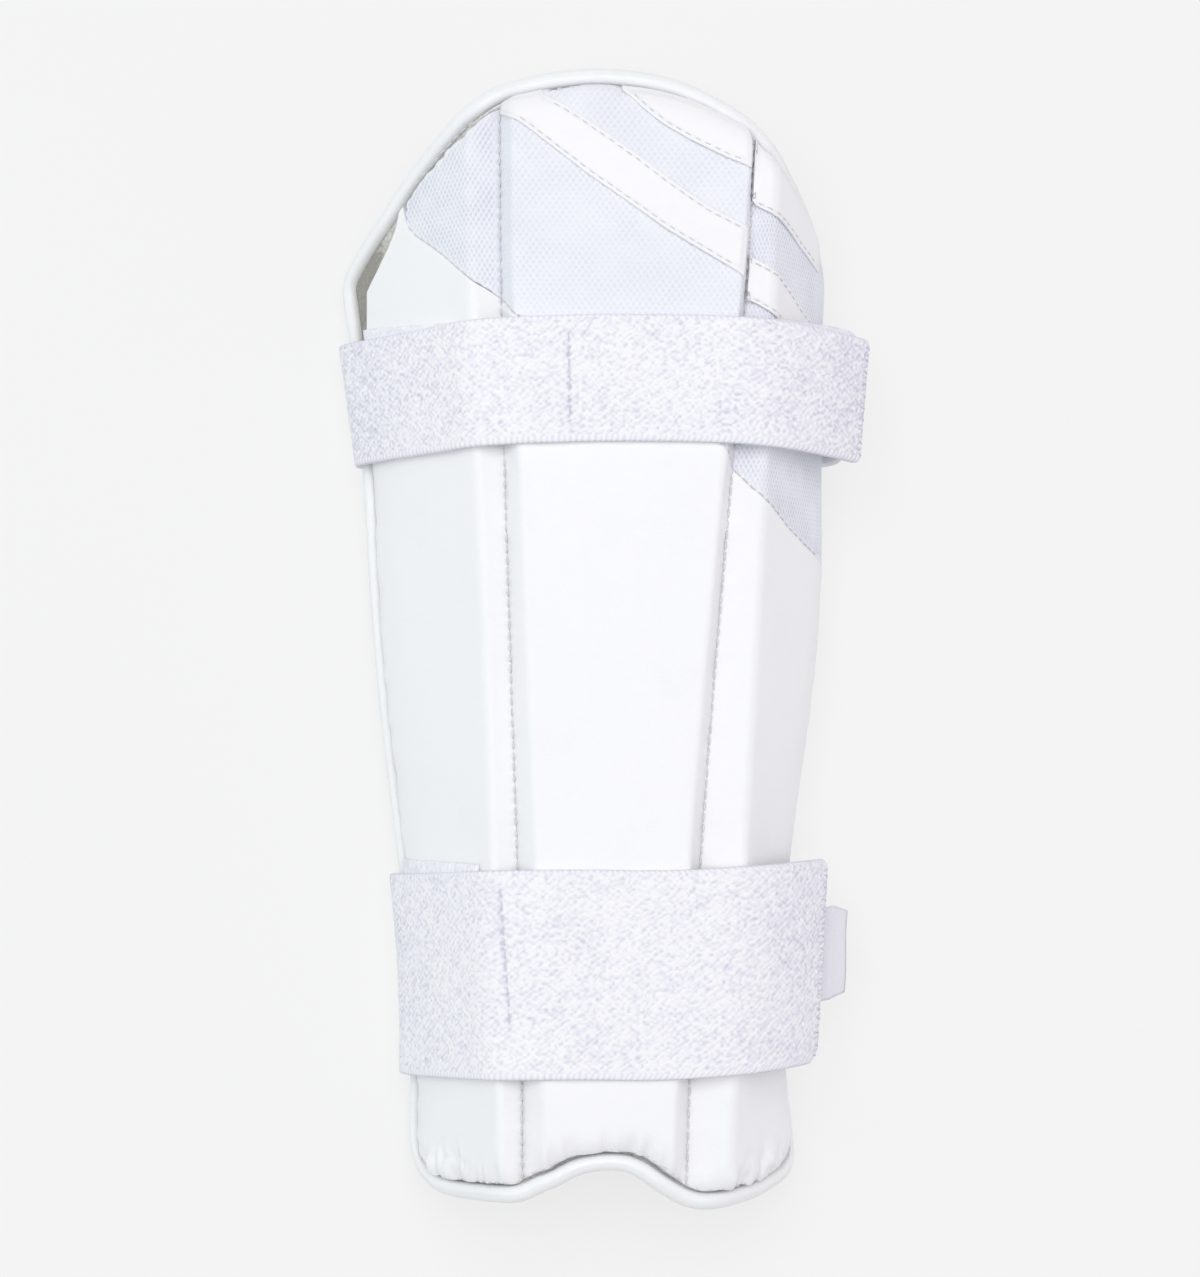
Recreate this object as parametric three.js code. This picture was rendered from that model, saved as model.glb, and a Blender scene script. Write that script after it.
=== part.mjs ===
// Padded forearm guard, straps closed, lying on the flat backs of its straps.
// Millimetres. +Z is the padded front, +Y runs along the arm to the domed end,
// +X is the side where the straps end. The floor is z = 0.
import * as THREE from 'three';

// ---------------------------------------------------------------- dimensions
const CENTRE_X = -0.06;           // moves the whole guard so that its box is centred
const CENTRE_Y = -1.35;
const SHELL_THICKNESS = 2.8;      // curved, towelling-faced base sheet
const PIECE_GAP = 0.3;            // between touching pieces
const PIPING_RADIUS = 2.05;       // corded edge binding
const PIPING_SETBACK = 2.65;       // shell edge to the middle of the binding
const PIPING_DEPTH = 1.0;         // middle of the binding below the outer face
const PIPING_SIDES = 8;
const PIPING_STEPS = 136;
const TAPER_LENGTH = 9;           // panels thin out over this length at both ends
const TAPER_LEAST = 0.34;         // share of the thickness left right at the end
const BAND_GAP = 0.4;             // band to the panel below it
const BAND_THICKNESS = 0.7;       // flat bands stitched on the mesh panels
const STRAP_THICKNESS = 1.6;      // woven elastic
const TAB_THICKNESS = 0.8;        // single layer under the front run of a strap
const TAB_GAP = 0.4;              // tab to the panel below it
const SIDE_BULGE = [2.0, 4.6];    // crown of the left and the right side panel
const BASE_BULGE = [0.5, 2.2];    // crown of the base sheet below them

// The eight folds of the guard, from the left edge to the right edge, as x at
// stations along the arm.
const FOLD_NAMES = ['leftEdge', 'leftRidge', 'leftValley', 'faceLeft',
  'faceRight', 'rightValley', 'rightRidge', 'rightEdge'];
const FOLDS = [
  { y: -150, leftEdge: -48.8, leftRidge: -25.3, leftValley: -20, faceLeft: -13.6, faceRight: 18.2, rightValley: 22, rightRidge: 33.2, rightEdge: 49.6 },
  { y: -110, leftEdge: -49, leftRidge: -26, leftValley: -20, faceLeft: -14.4, faceRight: 19.2, rightValley: 22.8, rightRidge: 34.5, rightEdge: 47.2 },
  { y: -60, leftEdge: -51.7, leftRidge: -27.4, leftValley: -21, faceLeft: -16.3, faceRight: 22.9, rightValley: 25.6, rightRidge: 37.4, rightEdge: 48.2 },
  { y: -40, leftEdge: -54.4, leftRidge: -28.15, leftValley: -21.7, faceLeft: -17.15, faceRight: 24.5, rightValley: 27.1, rightRidge: 38.45, rightEdge: 50.3 },
  { y: -20, leftEdge: -57.2, leftRidge: -28.9, leftValley: -22.4, faceLeft: -18, faceRight: 26.1, rightValley: 28.6, rightRidge: 39.5, rightEdge: 53.9 },
  { y: 0, leftEdge: -58.7, leftRidge: -29.75, leftValley: -23.15, faceLeft: -18.8, faceRight: 27.75, rightValley: 30.2, rightRidge: 40.55, rightEdge: 57 },
  { y: 20, leftEdge: -59.9, leftRidge: -30.6, leftValley: -23.9, faceLeft: -19.6, faceRight: 29.4, rightValley: 31.8, rightRidge: 41.6, rightEdge: 57.3 },
  { y: 60, leftEdge: -63.2, leftRidge: -32.2, leftValley: -25, faceLeft: -21.1, faceRight: 33, rightValley: 35.3, rightRidge: 43.4, rightEdge: 57.6 },
  { y: 100, leftEdge: -67.7, leftRidge: -33.6, leftValley: -25.7, faceLeft: -22.4, faceRight: 37.8, rightValley: 38.7, rightRidge: 45, rightEdge: 58.5 },
  { y: 150, leftEdge: -68.4, leftRidge: -34.2, leftValley: -26.2, faceLeft: -22.9, faceRight: 40, rightValley: 40.6, rightRidge: 46.2, rightEdge: 60.1 },
];
// Height of each fold, and depth of the base sheet's outer face below it.
const FOLD_HEIGHTS = [
  { fold: 'leftEdge', z: 10.0, pad: 1.8 },
  { fold: 'leftRidge', z: 51.2, pad: 5.0 },
  { fold: 'leftValley', z: 49.0, pad: 2.4 },
  { fold: 'faceLeft', z: 54.6, pad: 6.5 },
  { fold: 'faceRight', z: 52.6, pad: 6.0 },
  { fold: 'rightValley', z: 47.2, pad: 2.2 },
  { fold: 'rightRidge', z: 48.5, pad: 5.0 },
  { fold: 'rightEdge', z: 10.0, pad: 1.8 },
];

// Outline of the shell. "across" counts folds: 0 is the left edge, 1 the left
// ridge, up to 7 at the right edge.
const TOP_OUTLINE = [
  { across: 0, y: 98 }, { across: 0.1, y: 101.9 }, { across: 0.2, y: 105.8 }, { across: 0.4, y: 113.1 },
  { across: 0.57, y: 120.5 }, { across: 0.7, y: 125.1 }, { across: 0.81, y: 129 }, { across: 0.93, y: 132.9 },
  { across: 1.2, y: 135.5 }, { across: 1.63, y: 138.3 }, { across: 2.2, y: 140.1 }, { across: 3, y: 140.9 },
  { across: 3.12, y: 142.7 }, { across: 3.25, y: 143.9 }, { across: 3.38, y: 144.1 }, { across: 3.54, y: 143.3 },
  { across: 3.65, y: 142 }, { across: 3.78, y: 139.5 }, { across: 3.91, y: 135.6 }, { across: 4, y: 132.9 },
  { across: 5.17, y: 129.9 }, { across: 5.5, y: 128 }, { across: 6, y: 126 }, { across: 6.23, y: 120.6 },
  { across: 6.45, y: 115.2 }, { across: 6.7, y: 108.2 }, { across: 7, y: 96.5 },
];
const BOTTOM_OUTLINE = [
  { across: 0, y: -130 }, { across: 0.04, y: -133.8 }, { across: 0.1, y: -136.5 }, { across: 0.27, y: -139.5 },
  { across: 0.51, y: -140 }, { across: 1, y: -139.3 }, { across: 1.85, y: -139.1 }, { across: 2.5, y: -136.3 },
  { across: 3.1, y: -133 }, { across: 3.28, y: -131.4 }, { across: 3.5, y: -130.7 }, { across: 3.64, y: -130.9 },
  { across: 3.77, y: -131.8 }, { across: 3.9, y: -133.8 }, { across: 4, y: -135.8 }, { across: 4.77, y: -139.1 },
  { across: 5.16, y: -140.6 }, { across: 5.38, y: -141.3 }, { across: 5.67, y: -141.2 }, { across: 6.05, y: -140.7 },
  { across: 6.4, y: -139.7 }, { across: 6.8, y: -136.1 }, { across: 6.93, y: -133.3 }, { across: 7, y: -130 },
];
// The mesh cloth of the domed end meets the smooth cover along this seam.
const MESH_SEAM = [
  { across: 0.5, y: 114.5 }, { across: 0.58, y: 108.0 }, { across: 0.79, y: 101.0 }, { across: 1.0, y: 92.8 },
  { across: 1.8, y: 89.4 }, { across: 2.06, y: 88.0 }, { across: 3.0, y: 83.4 }, { across: 4.0, y: 49.0 },
  { across: 5.08, y: 43.7 }, { across: 5.6, y: 39.3 }, { across: 6.0, y: 36.6 }, { across: 6.16, y: 33.3 },
  { across: 6.29, y: 30.1 }, { across: 6.5, y: 26.4 }, { across: 7.0, y: 19.0 },
];
// Lower and upper edges of the flat bands.
const MAIN_BAND_LOW = [
  { across: 2.1, y: 136.3 }, { across: 3.02, y: 133.9 }, { across: 3.15, y: 127.7 }, { across: 3.32, y: 119.6 },
  { across: 3.51, y: 111.7 }, { across: 3.66, y: 105.4 }, { across: 3.82, y: 99.9 }, { across: 4.0, y: 93.8 },
  { across: 4.7, y: 88.6 }, { across: 5.43, y: 87.0 }, { across: 5.86, y: 85.1 }, { across: 6.09, y: 82.8 }, { across: 7.0, y: 70.0 },
];
const MAIN_BAND_HIGH = [
  { across: 3.12, y: 140.4 }, { across: 3.19, y: 138.7 }, { across: 3.28, y: 135.4 }, { across: 3.39, y: 130.7 },
  { across: 3.5, y: 126.0 }, { across: 3.7, y: 117.0 }, { across: 3.84, y: 111.3 }, { across: 4.0, y: 106.5 },
  { across: 5.03, y: 99.6 }, { across: 5.45, y: 98.2 }, { across: 5.9, y: 96.4 }, { across: 6.07, y: 94.8 },
  { across: 6.23, y: 91.8 }, { across: 6.39, y: 88.0 }, { across: 7.0, y: 78.0 },
];
const UPPER_BAND_LOW = [
  { across: 3.43, y: 143.0 }, { across: 3.49, y: 140.1 }, { across: 3.54, y: 137.0 }, { across: 3.63, y: 132.7 },
  { across: 3.75, y: 128.5 }, { across: 3.91, y: 123.9 }, { across: 4.0, y: 121.9 }, { across: 5.16, y: 112.7 },
  { across: 5.71, y: 111.0 }, { across: 6.03, y: 109.5 }, { across: 6.17, y: 107.4 }, { across: 6.36, y: 103.6 },
  { across: 6.6, y: 99.5 }, { across: 7.0, y: 92.0 },
];
// The left panel stops short of its edge below the dome; elsewhere it reaches it.
const LEFT_PANEL_EDGE = [
  { y: -160, across: 0.012 }, { y: 60, across: 0.012 }, { y: 88, across: 0.10 }, { y: 95, across: 0.115 },
  { y: 101, across: 0.17 }, { y: 107, across: 0.23 }, { y: 112, across: 0.40 }, { y: 160, across: 0.42 },
];

// Straps: y of the two edges, where the free end stops, how far the loop
// stands off the right side, how far above the panel the fixed end lies, how
// far the left fold stands off the edge and how much more towards the dome,
// and how the strap bows along the arm at each corner of its route.
const STRAPS = [
  { name: 'strap_upper', under: 1.5, low: 51.6, high: 84.4, endX: 68.8, endZ: 31, loopOut: 65.2, loopZ: 19, drift: 0.088,
    fold: 3.4, foldDrift: 0.05,
    bow: [-1.9, -1.6, -1.4, -1.6, -2.0, -2.4, -2.9, -2.7, -2.7, -2.7, -2.8, -2.8, -2.6, -1.4, -1.4, -2.1, -3.4, -4.3] },
  { name: 'strap_lower', under: 0.5, low: -113.4, high: -60.4, endX: 57.0, endZ: 30, loopOut: 54.6, loopZ: 16, drift: 0.06,
    fold: 3.1, foldDrift: 0,
    bow: [1.8, 2.2, 3.4, 4.0, 3.4, 2.4, 0.8, 0.2, 0, 0.2, 0.5, 0.8, 1.2, 1.5, 1.6, 2.2, 3.4, 4.2] },
];

const COLOURS = {
  smooth: [0xf2f3f6, 0.52], mesh: [0xe6ebf5, 0.82], band: [0xf4f4f8, 0.5],
  piping: [0xf4f5f6, 0.45], elastic: [0xe4e4f2, 0.9], base: [0xe4e2dc, 0.95], label: [0xf6f6f8, 0.7],
};

// ---------------------------------------------------------------- functions
function lookUp(table, key, at, value) {
  if (at <= table[0][key]) return table[0][value];
  for (let i = 1; i < table.length; i++) {
    if (at <= table[i][key]) {
      const a = table[i - 1], b = table[i];
      return a[value] + (b[value] - a[value]) * (at - a[key]) / (b[key] - a[key]);
    }
  }
  return table[table.length - 1][value];
}

const foldPoint = (i, y) => new THREE.Vector2(lookUp(FOLDS, 'y', y, FOLD_NAMES[i]), FOLD_HEIGHTS[i].z);
const sideNormal = (a, b) => new THREE.Vector2(-(b.y - a.y), b.x - a.x).normalize();

// Folds of the base sheet's outer face: each fold of the front moved inwards.
function basePoint(i, y) {
  const p = foldPoint(i, y), n = new THREE.Vector2();
  if (i > 0) n.add(sideNormal(foldPoint(i - 1, y), p));
  if (i < 7) n.add(sideNormal(p, foldPoint(i + 1, y)));
  return p.addScaledVector(n.normalize(), -FOLD_HEIGHTS[i].pad);
}

function onFolds(point, bulges, across, y) {
  const i = Math.min(6, Math.floor(across)), f = across - i;
  const a = point(i, y), b = point(i + 1, y), p = a.clone().lerp(b, f);
  // the side panels are nearly flat on the slope and full beside the binding
  const bulge = i === 0 ? bulges[0] : i === 6 ? bulges[1] : 0, g = i === 6 ? f : 1 - f;
  return p.addScaledVector(sideNormal(a, b), 1.62 * bulge * g * (1 - g ** 6));
}
const front = (across, y) => onFolds(foldPoint, SIDE_BULGE, across, y);
const base = (across, y) => onFolds(basePoint, BASE_BULGE, across, y);

function normalOf(surface, across, y) {
  const a = surface(Math.max(0, across - 0.15), y), b = surface(Math.min(7, across + 0.15), y);
  return sideNormal(a, b);
}

const topOf = (across) => lookUp(TOP_OUTLINE, 'across', across, 'y');
const bottomOf = (across) => lookUp(BOTTOM_OUTLINE, 'across', across, 'y');
const seamOf = (across) => lookUp(MESH_SEAM, 'across', across, 'y');

// Outer face of the padded panels, thinned towards the two ends.
function padded(across, y) {
  const d = Math.min(topOf(across) - y, y - bottomOf(across));
  const share = TAPER_LEAST + (1 - TAPER_LEAST) * Math.sqrt(Math.min(1, Math.max(0, d) / TAPER_LENGTH));
  const low = base(across, y);
  return low.lerp(front(across, y), share);
}

const lift = (p, n, d, y) => new THREE.Vector3(p.x + n.x * d, y, p.y + n.y * d);

// A closed solid between two faces that are sampled on the same grid.
function gridSolid(rows, columns, outer, inner) {
  const points = [], faces = [], at = (side, r, c) => side * rows * columns + r * columns + c;
  for (const face of [outer, inner]) {
    for (let r = 0; r < rows; r++) for (let c = 0; c < columns; c++) points.push(...face(r, c).toArray());
  }
  const quad = (a, b, c, d) => faces.push(a, b, c, a, c, d);
  for (let r = 0; r + 1 < rows; r++) {
    for (let c = 0; c + 1 < columns; c++) {
      quad(at(0, r, c), at(0, r, c + 1), at(0, r + 1, c + 1), at(0, r + 1, c));
      quad(at(1, r, c), at(1, r + 1, c), at(1, r + 1, c + 1), at(1, r, c + 1));
    }
    quad(at(0, r, 0), at(0, r + 1, 0), at(1, r + 1, 0), at(1, r, 0));
    quad(at(0, r, columns - 1), at(1, r, columns - 1), at(1, r + 1, columns - 1), at(0, r + 1, columns - 1));
  }
  for (let c = 0; c + 1 < columns; c++) {
    quad(at(0, 0, c), at(1, 0, c), at(1, 0, c + 1), at(0, 0, c + 1));
    quad(at(0, rows - 1, c), at(0, rows - 1, c + 1), at(1, rows - 1, c + 1), at(1, rows - 1, c));
  }
  let volume = 0;
  const v = (i) => new THREE.Vector3(points[3 * i], points[3 * i + 1], points[3 * i + 2]);
  for (let i = 0; i < faces.length; i += 3) volume += v(faces[i]).dot(v(faces[i + 1]).cross(v(faces[i + 2])));
  if (volume < 0) for (let i = 0; i < faces.length; i += 3) [faces[i + 1], faces[i + 2]] = [faces[i + 2], faces[i + 1]];
  const geometry = new THREE.BufferGeometry();
  geometry.setAttribute('position', new THREE.Float32BufferAttribute(points, 3));
  geometry.setIndex(faces);
  geometry.computeVertexNormals();
  return geometry;
}

const guard = new THREE.Group();
guard.name = 'guard';
guard.position.set(CENTRE_X, CENTRE_Y, 0);
function addPiece(name, geometry, [colour, roughness]) {
  const mesh = new THREE.Mesh(geometry, new THREE.MeshStandardMaterial({ color: colour, roughness, metalness: 0 }));
  mesh.name = name;
  guard.add(mesh);
}

// Places along a piece: a few near each end, evenly spaced between.
function stations(from, to, ends, count) {
  const length = to - from, list = [];
  for (const e of ends) if (e < length / 3) list.push(from + e);
  const last = list.length ? list[list.length - 1] : from;
  const far = ends.filter((e) => e < length / 3);
  const stop = to - (far.length ? far[far.length - 1] : 0);
  for (let i = 1; i < count; i++) list.push(last + (stop - last) * i / count);
  for (let i = far.length - 1; i >= 0; i--) list.push(to - far[i]);
  return list;
}

// A padded panel between two places across and two lines along.
function panel(name, acrossList, lowOf, highOf, count, colour, edgeOf) {
  const columns = acrossList.map((a) => stations(lowOf(a), highOf(a), [0, 1.2, 4, 9], count));
  const rows = Math.min(...columns.map((c) => c.length));
  const even = acrossList.map((a, i) => (columns[i].length === rows ? columns[i] : stations(lowOf(a), highOf(a), [], rows - 1)));
  const whole = even.map((c, i) => (c.length === rows ? c
    : Array.from({ length: rows }, (_, r) => lowOf(acrossList[i]) + (highOf(acrossList[i]) - lowOf(acrossList[i])) * r / (rows - 1))));
  const where = (r, c) => {
    const y = whole[c][r];
    let a = acrossList[c];
    if (edgeOf) {
      const first = acrossList[0], last = 0.5, start = Math.max(first, edgeOf(y));
      if (a < last) a = start + (last - start) * (a - first) / (last - first);
    }
    return [a, y];
  };
  addPiece(name, gridSolid(rows, acrossList.length,
    (r, c) => { const [a, y] = where(r, c), p = padded(a, y); return new THREE.Vector3(p.x, y, p.y); },
    (r, c) => { const [a, y] = where(r, c); return lift(base(a, y), normalOf(base, a, y), PIECE_GAP, y); }), colour);
}

// ---------------------------------------------------------------- base sheet
const BASE_ACROSS = [0, 0.03, 0.08, 0.16, 0.28, 0.42, 0.57, 0.72, 0.86, 1, 1.5, 2, 2.5, 3, 3.13, 3.26, 3.38, 3.5, 3.64, 3.77,
  3.9, 4, 5, 5.5, 6, 6.12, 6.25, 6.4, 6.55, 6.7, 6.82, 6.92, 7];
{
  const rows = 21, y = (r, c) => {
    const a = BASE_ACROSS[c];
    return bottomOf(a) + (topOf(a) - bottomOf(a)) * r / (rows - 1);
  };
  addPiece('backing', gridSolid(rows, BASE_ACROSS.length,
    (r, c) => lift(base(BASE_ACROSS[c], y(r, c)), new THREE.Vector2(), 0, y(r, c)),
    (r, c) => lift(base(BASE_ACROSS[c], y(r, c)), normalOf(base, BASE_ACROSS[c], y(r, c)), -SHELL_THICKNESS, y(r, c))), COLOURS.base);
}

// ---------------------------------------------------------------- padded panels
const EDGE = 0.6;    // panels stop this far inside the outline
const HALF = PIECE_GAP / 2;
const inTop = (a) => topOf(a) - EDGE, inBottom = (a) => bottomOf(a) + EDGE;
const seamAbove = (a) => seamOf(a) + HALF, seamBelow = (a) => seamOf(a) - HALF;
const LEFT = [0.012, 0.05, 0.12, 0.22, 0.34, 0.46, 0.56, 0.64, 0.76, 0.88, 1, 1.4, 1.97];
const LEFT_UPPER = [0.56, 0.64, 0.76, 0.88, 1, 1.4, 1.97];
const CENTRE = [2.03, 2.5, 3, 3.12, 3.25, 3.38, 3.5, 3.64, 3.77, 3.9, 4, 4.5, 4.95];
const RIGHT = [5.05, 5.38, 5.7, 6, 6.1, 6.22, 6.35, 6.5, 6.65, 6.8, 6.92, 6.988];
panel('panel_left_lower', LEFT, inBottom, (a) => Math.min(inTop(a), a < 0.5 ? 1e9 : seamBelow(a)), 8, COLOURS.smooth,
  (y) => lookUp(LEFT_PANEL_EDGE, 'y', y, 'across'));
panel('panel_left_upper', LEFT_UPPER, seamAbove, inTop, 4, COLOURS.mesh);
panel('panel_centre_lower', CENTRE, inBottom, seamBelow, 8, COLOURS.smooth);
panel('panel_centre_upper', CENTRE, seamAbove, inTop, 5, COLOURS.mesh);
panel('panel_right_lower', RIGHT, inBottom, seamBelow, 8, COLOURS.smooth);
panel('panel_right_upper', RIGHT, seamAbove, inTop, 5, COLOURS.mesh);

// ---------------------------------------------------------------- flat bands
function band(name, acrossList, lowOf, highOf) {
  const rows = 4, y = (r, c) => {
    const a = acrossList[c];
    return lowOf(a) + (highOf(a) - lowOf(a)) * r / (rows - 1);
  };
  const face = (d) => (r, c) => {
    const a = acrossList[c], t = y(r, c);
    return lift(padded(a, t), normalOf(front, a, t), d, t);
  };
  addPiece(name, gridSolid(rows, acrossList.length, face(BAND_GAP + BAND_THICKNESS), face(BAND_GAP)), COLOURS.band);
}
const mainLow = (a) => lookUp(MAIN_BAND_LOW, 'across', a, 'y'), mainHigh = (a) => lookUp(MAIN_BAND_HIGH, 'across', a, 'y');
const upperLow = (a) => lookUp(UPPER_BAND_LOW, 'across', a, 'y');
const SIDE_BAND = [5.1, 5.38, 5.7, 6, 6.1, 6.22, 6.35, 6.5];
const bandTop = (a) => topOf(a) - 1.2;
band('band_main_centre', [2.3, 2.6, 2.9, 3, 3.12, 3.25, 3.38, 3.5, 3.64, 3.77, 3.9, 3.97], mainLow,
  (a) => (a < 3.14 ? bandTop(a) : Math.min(mainHigh(a), bandTop(a))));
band('band_upper_centre', [3.47, 3.56, 3.64, 3.77, 3.9, 3.97], upperLow, bandTop);
band('band_main_side', SIDE_BAND, mainLow, mainHigh);
band('band_upper_side', SIDE_BAND, upperLow, bandTop);

// ---------------------------------------------------------------- corded edge
{
  // Along the outline: up the left edge, over the dome, down the right edge
  // and back along the notched lower end.
  const rim = [];
  const put = (a, y) => {
    const p = base(a, y), n = normalOf(base, a, y);
    rim.push({ at: lift(p, n, FOLD_HEIGHTS[0].pad * 0.6 - PIPING_DEPTH, y), n: new THREE.Vector3(n.x, 0, n.y) });
  };
  const START_Y = -86;                       // the joint hides under the lower strap
  for (let y = START_Y; y < 92; y += 14) put(0, y);
  for (const a of [0, 0.05, 0.12, 0.22, 0.34, 0.48, 0.62, 0.76, 0.9, 1.15, 1.6, 2.2, 2.9, 3.08, 3.2, 3.33, 3.46, 3.6, 3.74, 3.87, 4,
    5, 5.45, 5.85, 6.08, 6.22, 6.36, 6.5, 6.65, 6.8, 6.93, 7]) put(a, topOf(a));
  for (let y = 84; y > -122; y -= 14.5) put(7, y);
  for (const a of [7, 6.95, 6.85, 6.65, 6.4, 6.15, 5.95, 5.67, 5.35, 4.95, 4.4, 3.97, 3.86, 3.74, 3.62, 3.5, 3.36, 3.22, 3.08, 2.7,
    2.1, 1.5, 0.98, 0.74, 0.5, 0.3, 0.16, 0.07, 0.02, 0]) put(a, bottomOf(a));
  for (let y = -120; y < START_Y - 6; y += 10) put(0, y);
  rim.push({ at: rim[0].at.clone().add(new THREE.Vector3(0, -PIECE_GAP, 0)), n: rim[0].n });
  const path = rim.map((q, i) => {
    const a = rim[Math.max(0, i - 1)].at, b = rim[Math.min(rim.length - 1, i + 1)].at;
    const along = b.clone().sub(a).normalize();
    const out = along.clone().cross(q.n).normalize();      // in the sheet, away from the guard
    return q.at.clone().addScaledVector(out, -PIPING_SETBACK);
  });
  const section = new THREE.Shape();
  for (let i = 0; i < PIPING_SIDES; i++) {
    const t = (i + 0.5) * 2 * Math.PI / PIPING_SIDES;
    const q = [PIPING_RADIUS * Math.cos(t), PIPING_RADIUS * Math.sin(t)];
    if (i) section.lineTo(...q); else section.moveTo(...q);
  }
  section.closePath();
  addPiece('piping', new THREE.ExtrudeGeometry(section, {
    steps: PIPING_STEPS, extrudePath: new THREE.CatmullRomCurve3(path, false, 'centripetal'), bevelEnabled: false,
  }), COLOURS.piping);
}

// ---------------------------------------------------------------- straps
// A rounded line through corners given as [x, z, radius].
function roundedLine(corners, count) {
  const path = new THREE.Path();
  const at = (i) => new THREE.Vector2(corners[i][0], corners[i][1]);
  path.moveTo(corners[0][0], corners[0][1]);
  for (let i = 1; i + 1 < corners.length; i++) {
    const p = at(i), a = at(i - 1).sub(p), b = at(i + 1).sub(p);
    const r = Math.min(corners[i][2], a.length() * 0.48, b.length() * 0.48);
    const from = p.clone().addScaledVector(a.normalize(), r), to = p.clone().addScaledVector(b.normalize(), r);
    path.lineTo(from.x, from.y);
    path.quadraticCurveTo(p.x, p.y, to.x, to.y);
  }
  const end = at(corners.length - 1);
  path.lineTo(end.x, end.y);
  return path.getSpacedPoints(count);
}

// Inner face of a strap at one y, from its hidden fixed end over the right
// side, under the guard, round the left edge and over the front to its end.
function strapCorners(s, y) {
  const t = STRAP_THICKNESS, at = (i) => y + s.bow[i];
  const on = (i, a, d) => {
    const p = front(a, at(i)), n = normalOf(front, a, at(i));
    return [p.x + n.x * d, p.y + n.y * d];
  };
  const first = s.under, over = first + t + 0.4, left = TAB_GAP + TAB_THICKNESS + 0.4;
  const edge = (i) => foldPoint(0, at(i)).x, ridge = (i) => foldPoint(6, at(i));
  const off = y - (s.low + s.high) / 2, drift = off * s.drift;      // the guard widens towards the dome
  const fold = s.fold + off * s.foldDrift;
  const slope = (i, share, x, drop) => [ridge(i).x + (x + drift - ridge(i).x) * share, ridge(i).y - drop];
  return [
    [...on(0, 5.25, first + 0.2), 0],
    [ridge(1).x + 0.6, ridge(1).y + first + 0.7, 4],
    [...slope(2, 0.62, s.loopOut, 10.5), 8],
    [s.loopOut + drift, s.loopZ + 9, 9],
    [s.loopOut + drift - 0.8, 8.0, 6],
    [s.loopOut + drift - 6.5, t, 6],
    [edge(6) + 3.0, t, 6],
    [edge(7) - fold - 0.2, 5.6, 4],
    [edge(8) - fold, 11.5, 3.5],
    [...on(9, 0.25, left), 10],
    [...on(10, 0.5, left), 12],
    [...on(11, 0.75, left), 12],
    [...on(12, 1, left + 0.2), 4],
    [...on(13, 3, 0.55), 6],
    [...on(14, 3.9, 0.55), 8],
    [ridge(15).x + 0.8, ridge(15).y + over + 1.2, 9],
    [...slope(16, 0.6, s.endX, 6.2), 9],
    [s.endX + drift, s.endZ, 0],
  ];
}
// How far each of count + 1 evenly spaced points of a route is moved along the arm.
function bowAlong(s, corners, count) {
  const far = [0];
  for (let i = 1; i < corners.length; i++) {
    far.push(far[i - 1] + Math.hypot(corners[i][0] - corners[i - 1][0], corners[i][1] - corners[i - 1][1]));
  }
  const table = far.map((d, i) => ({ d, bow: s.bow[i] }));
  return (c) => lookUp(table, 'd', far[far.length - 1] * c / count, 'bow');
}
for (const s of STRAPS) {
  const rows = 3, count = 92, lines = [];
  for (let r = 0; r < rows; r++) {
    const y = s.low + (s.high - s.low) * r / (rows - 1);
    const corners = strapCorners(s, y), bow = bowAlong(s, corners, count);
    lines.push({ y: (c) => y + bow(c), line: roundedLine(corners, count) });
  }
  const inner = (r, c) => new THREE.Vector3(lines[r].line[c].x, lines[r].y(c), lines[r].line[c].y);
  const outer = (r, c) => {
    const { line, y } = lines[r], a = line[Math.max(0, c - 1)], b = line[Math.min(count, c + 1)];
    const n = sideNormal(a, b);
    return new THREE.Vector3(line[c].x + n.x * STRAP_THICKNESS, y(c), line[c].y + n.y * STRAP_THICKNESS);
  };
  addPiece(s.name, gridSolid(rows, count + 1, outer, inner), COLOURS.elastic);
}

// Single layers of elastic sewn to the left panel under the front runs.
function tab(name, acrossList, low, high) {
  const rows = 3, face = (d) => (r, c) => {
    const a = acrossList[c], y = low + (high(a) - low) * r / (rows - 1);
    return lift(front(a, y), normalOf(front, a, y), d, y);
  };
  addPiece(name, gridSolid(rows, acrossList.length, face(TAB_GAP + TAB_THICKNESS), face(TAB_GAP)), COLOURS.elastic);
}
tab('anchor_tab_upper', [0.12, 0.22, 0.34, 0.46, 0.56, 0.64, 0.76, 0.88], 54, (a) => 85.6 - 3.6 * a);
tab('anchor_tab_lower', [0.05, 0.12, 0.22, 0.34, 0.46, 0.56, 0.64, 0.76, 0.88], -110, (a) => -56.2 - 1.5 * a);

// ---------------------------------------------------------------- side label
{
  // A folded tag held between the two layers at the end of the lower strap.
  const LABEL = [                       // along the strap past its end, and out of its line
    { along: -4.0, bend: 0, low: -93.0, high: -69.6 },
    { along: 0.6, bend: 0, low: -93.4, high: -69.0 },
    { along: 5.4, bend: 0.9, low: -93.0, high: -68.4 },
    { along: 9.6, bend: 2.8, low: -91.8, high: -69.4 },
  ];
  const THICK = 0.5, s = STRAPS[1];
  const face = (d) => (r, c) => {
    const q = LABEL[c], y = r ? q.high : q.low, corners = strapCorners(s, y - s.bow[17]);
    const end = new THREE.Vector2(...corners[corners.length - 1]), before = new THREE.Vector2(...corners[corners.length - 2]);
    const n = sideNormal(before, end), along = end.clone().sub(before).normalize();
    const p = end.addScaledVector(along, q.along).addScaledVector(n, d + q.bend);
    return new THREE.Vector3(p.x, y, p.y);
  };
  addPiece('label', gridSolid(2, LABEL.length, face(-0.35), face(-0.35 - THICK)), COLOURS.label);
}

export default guard;
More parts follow.
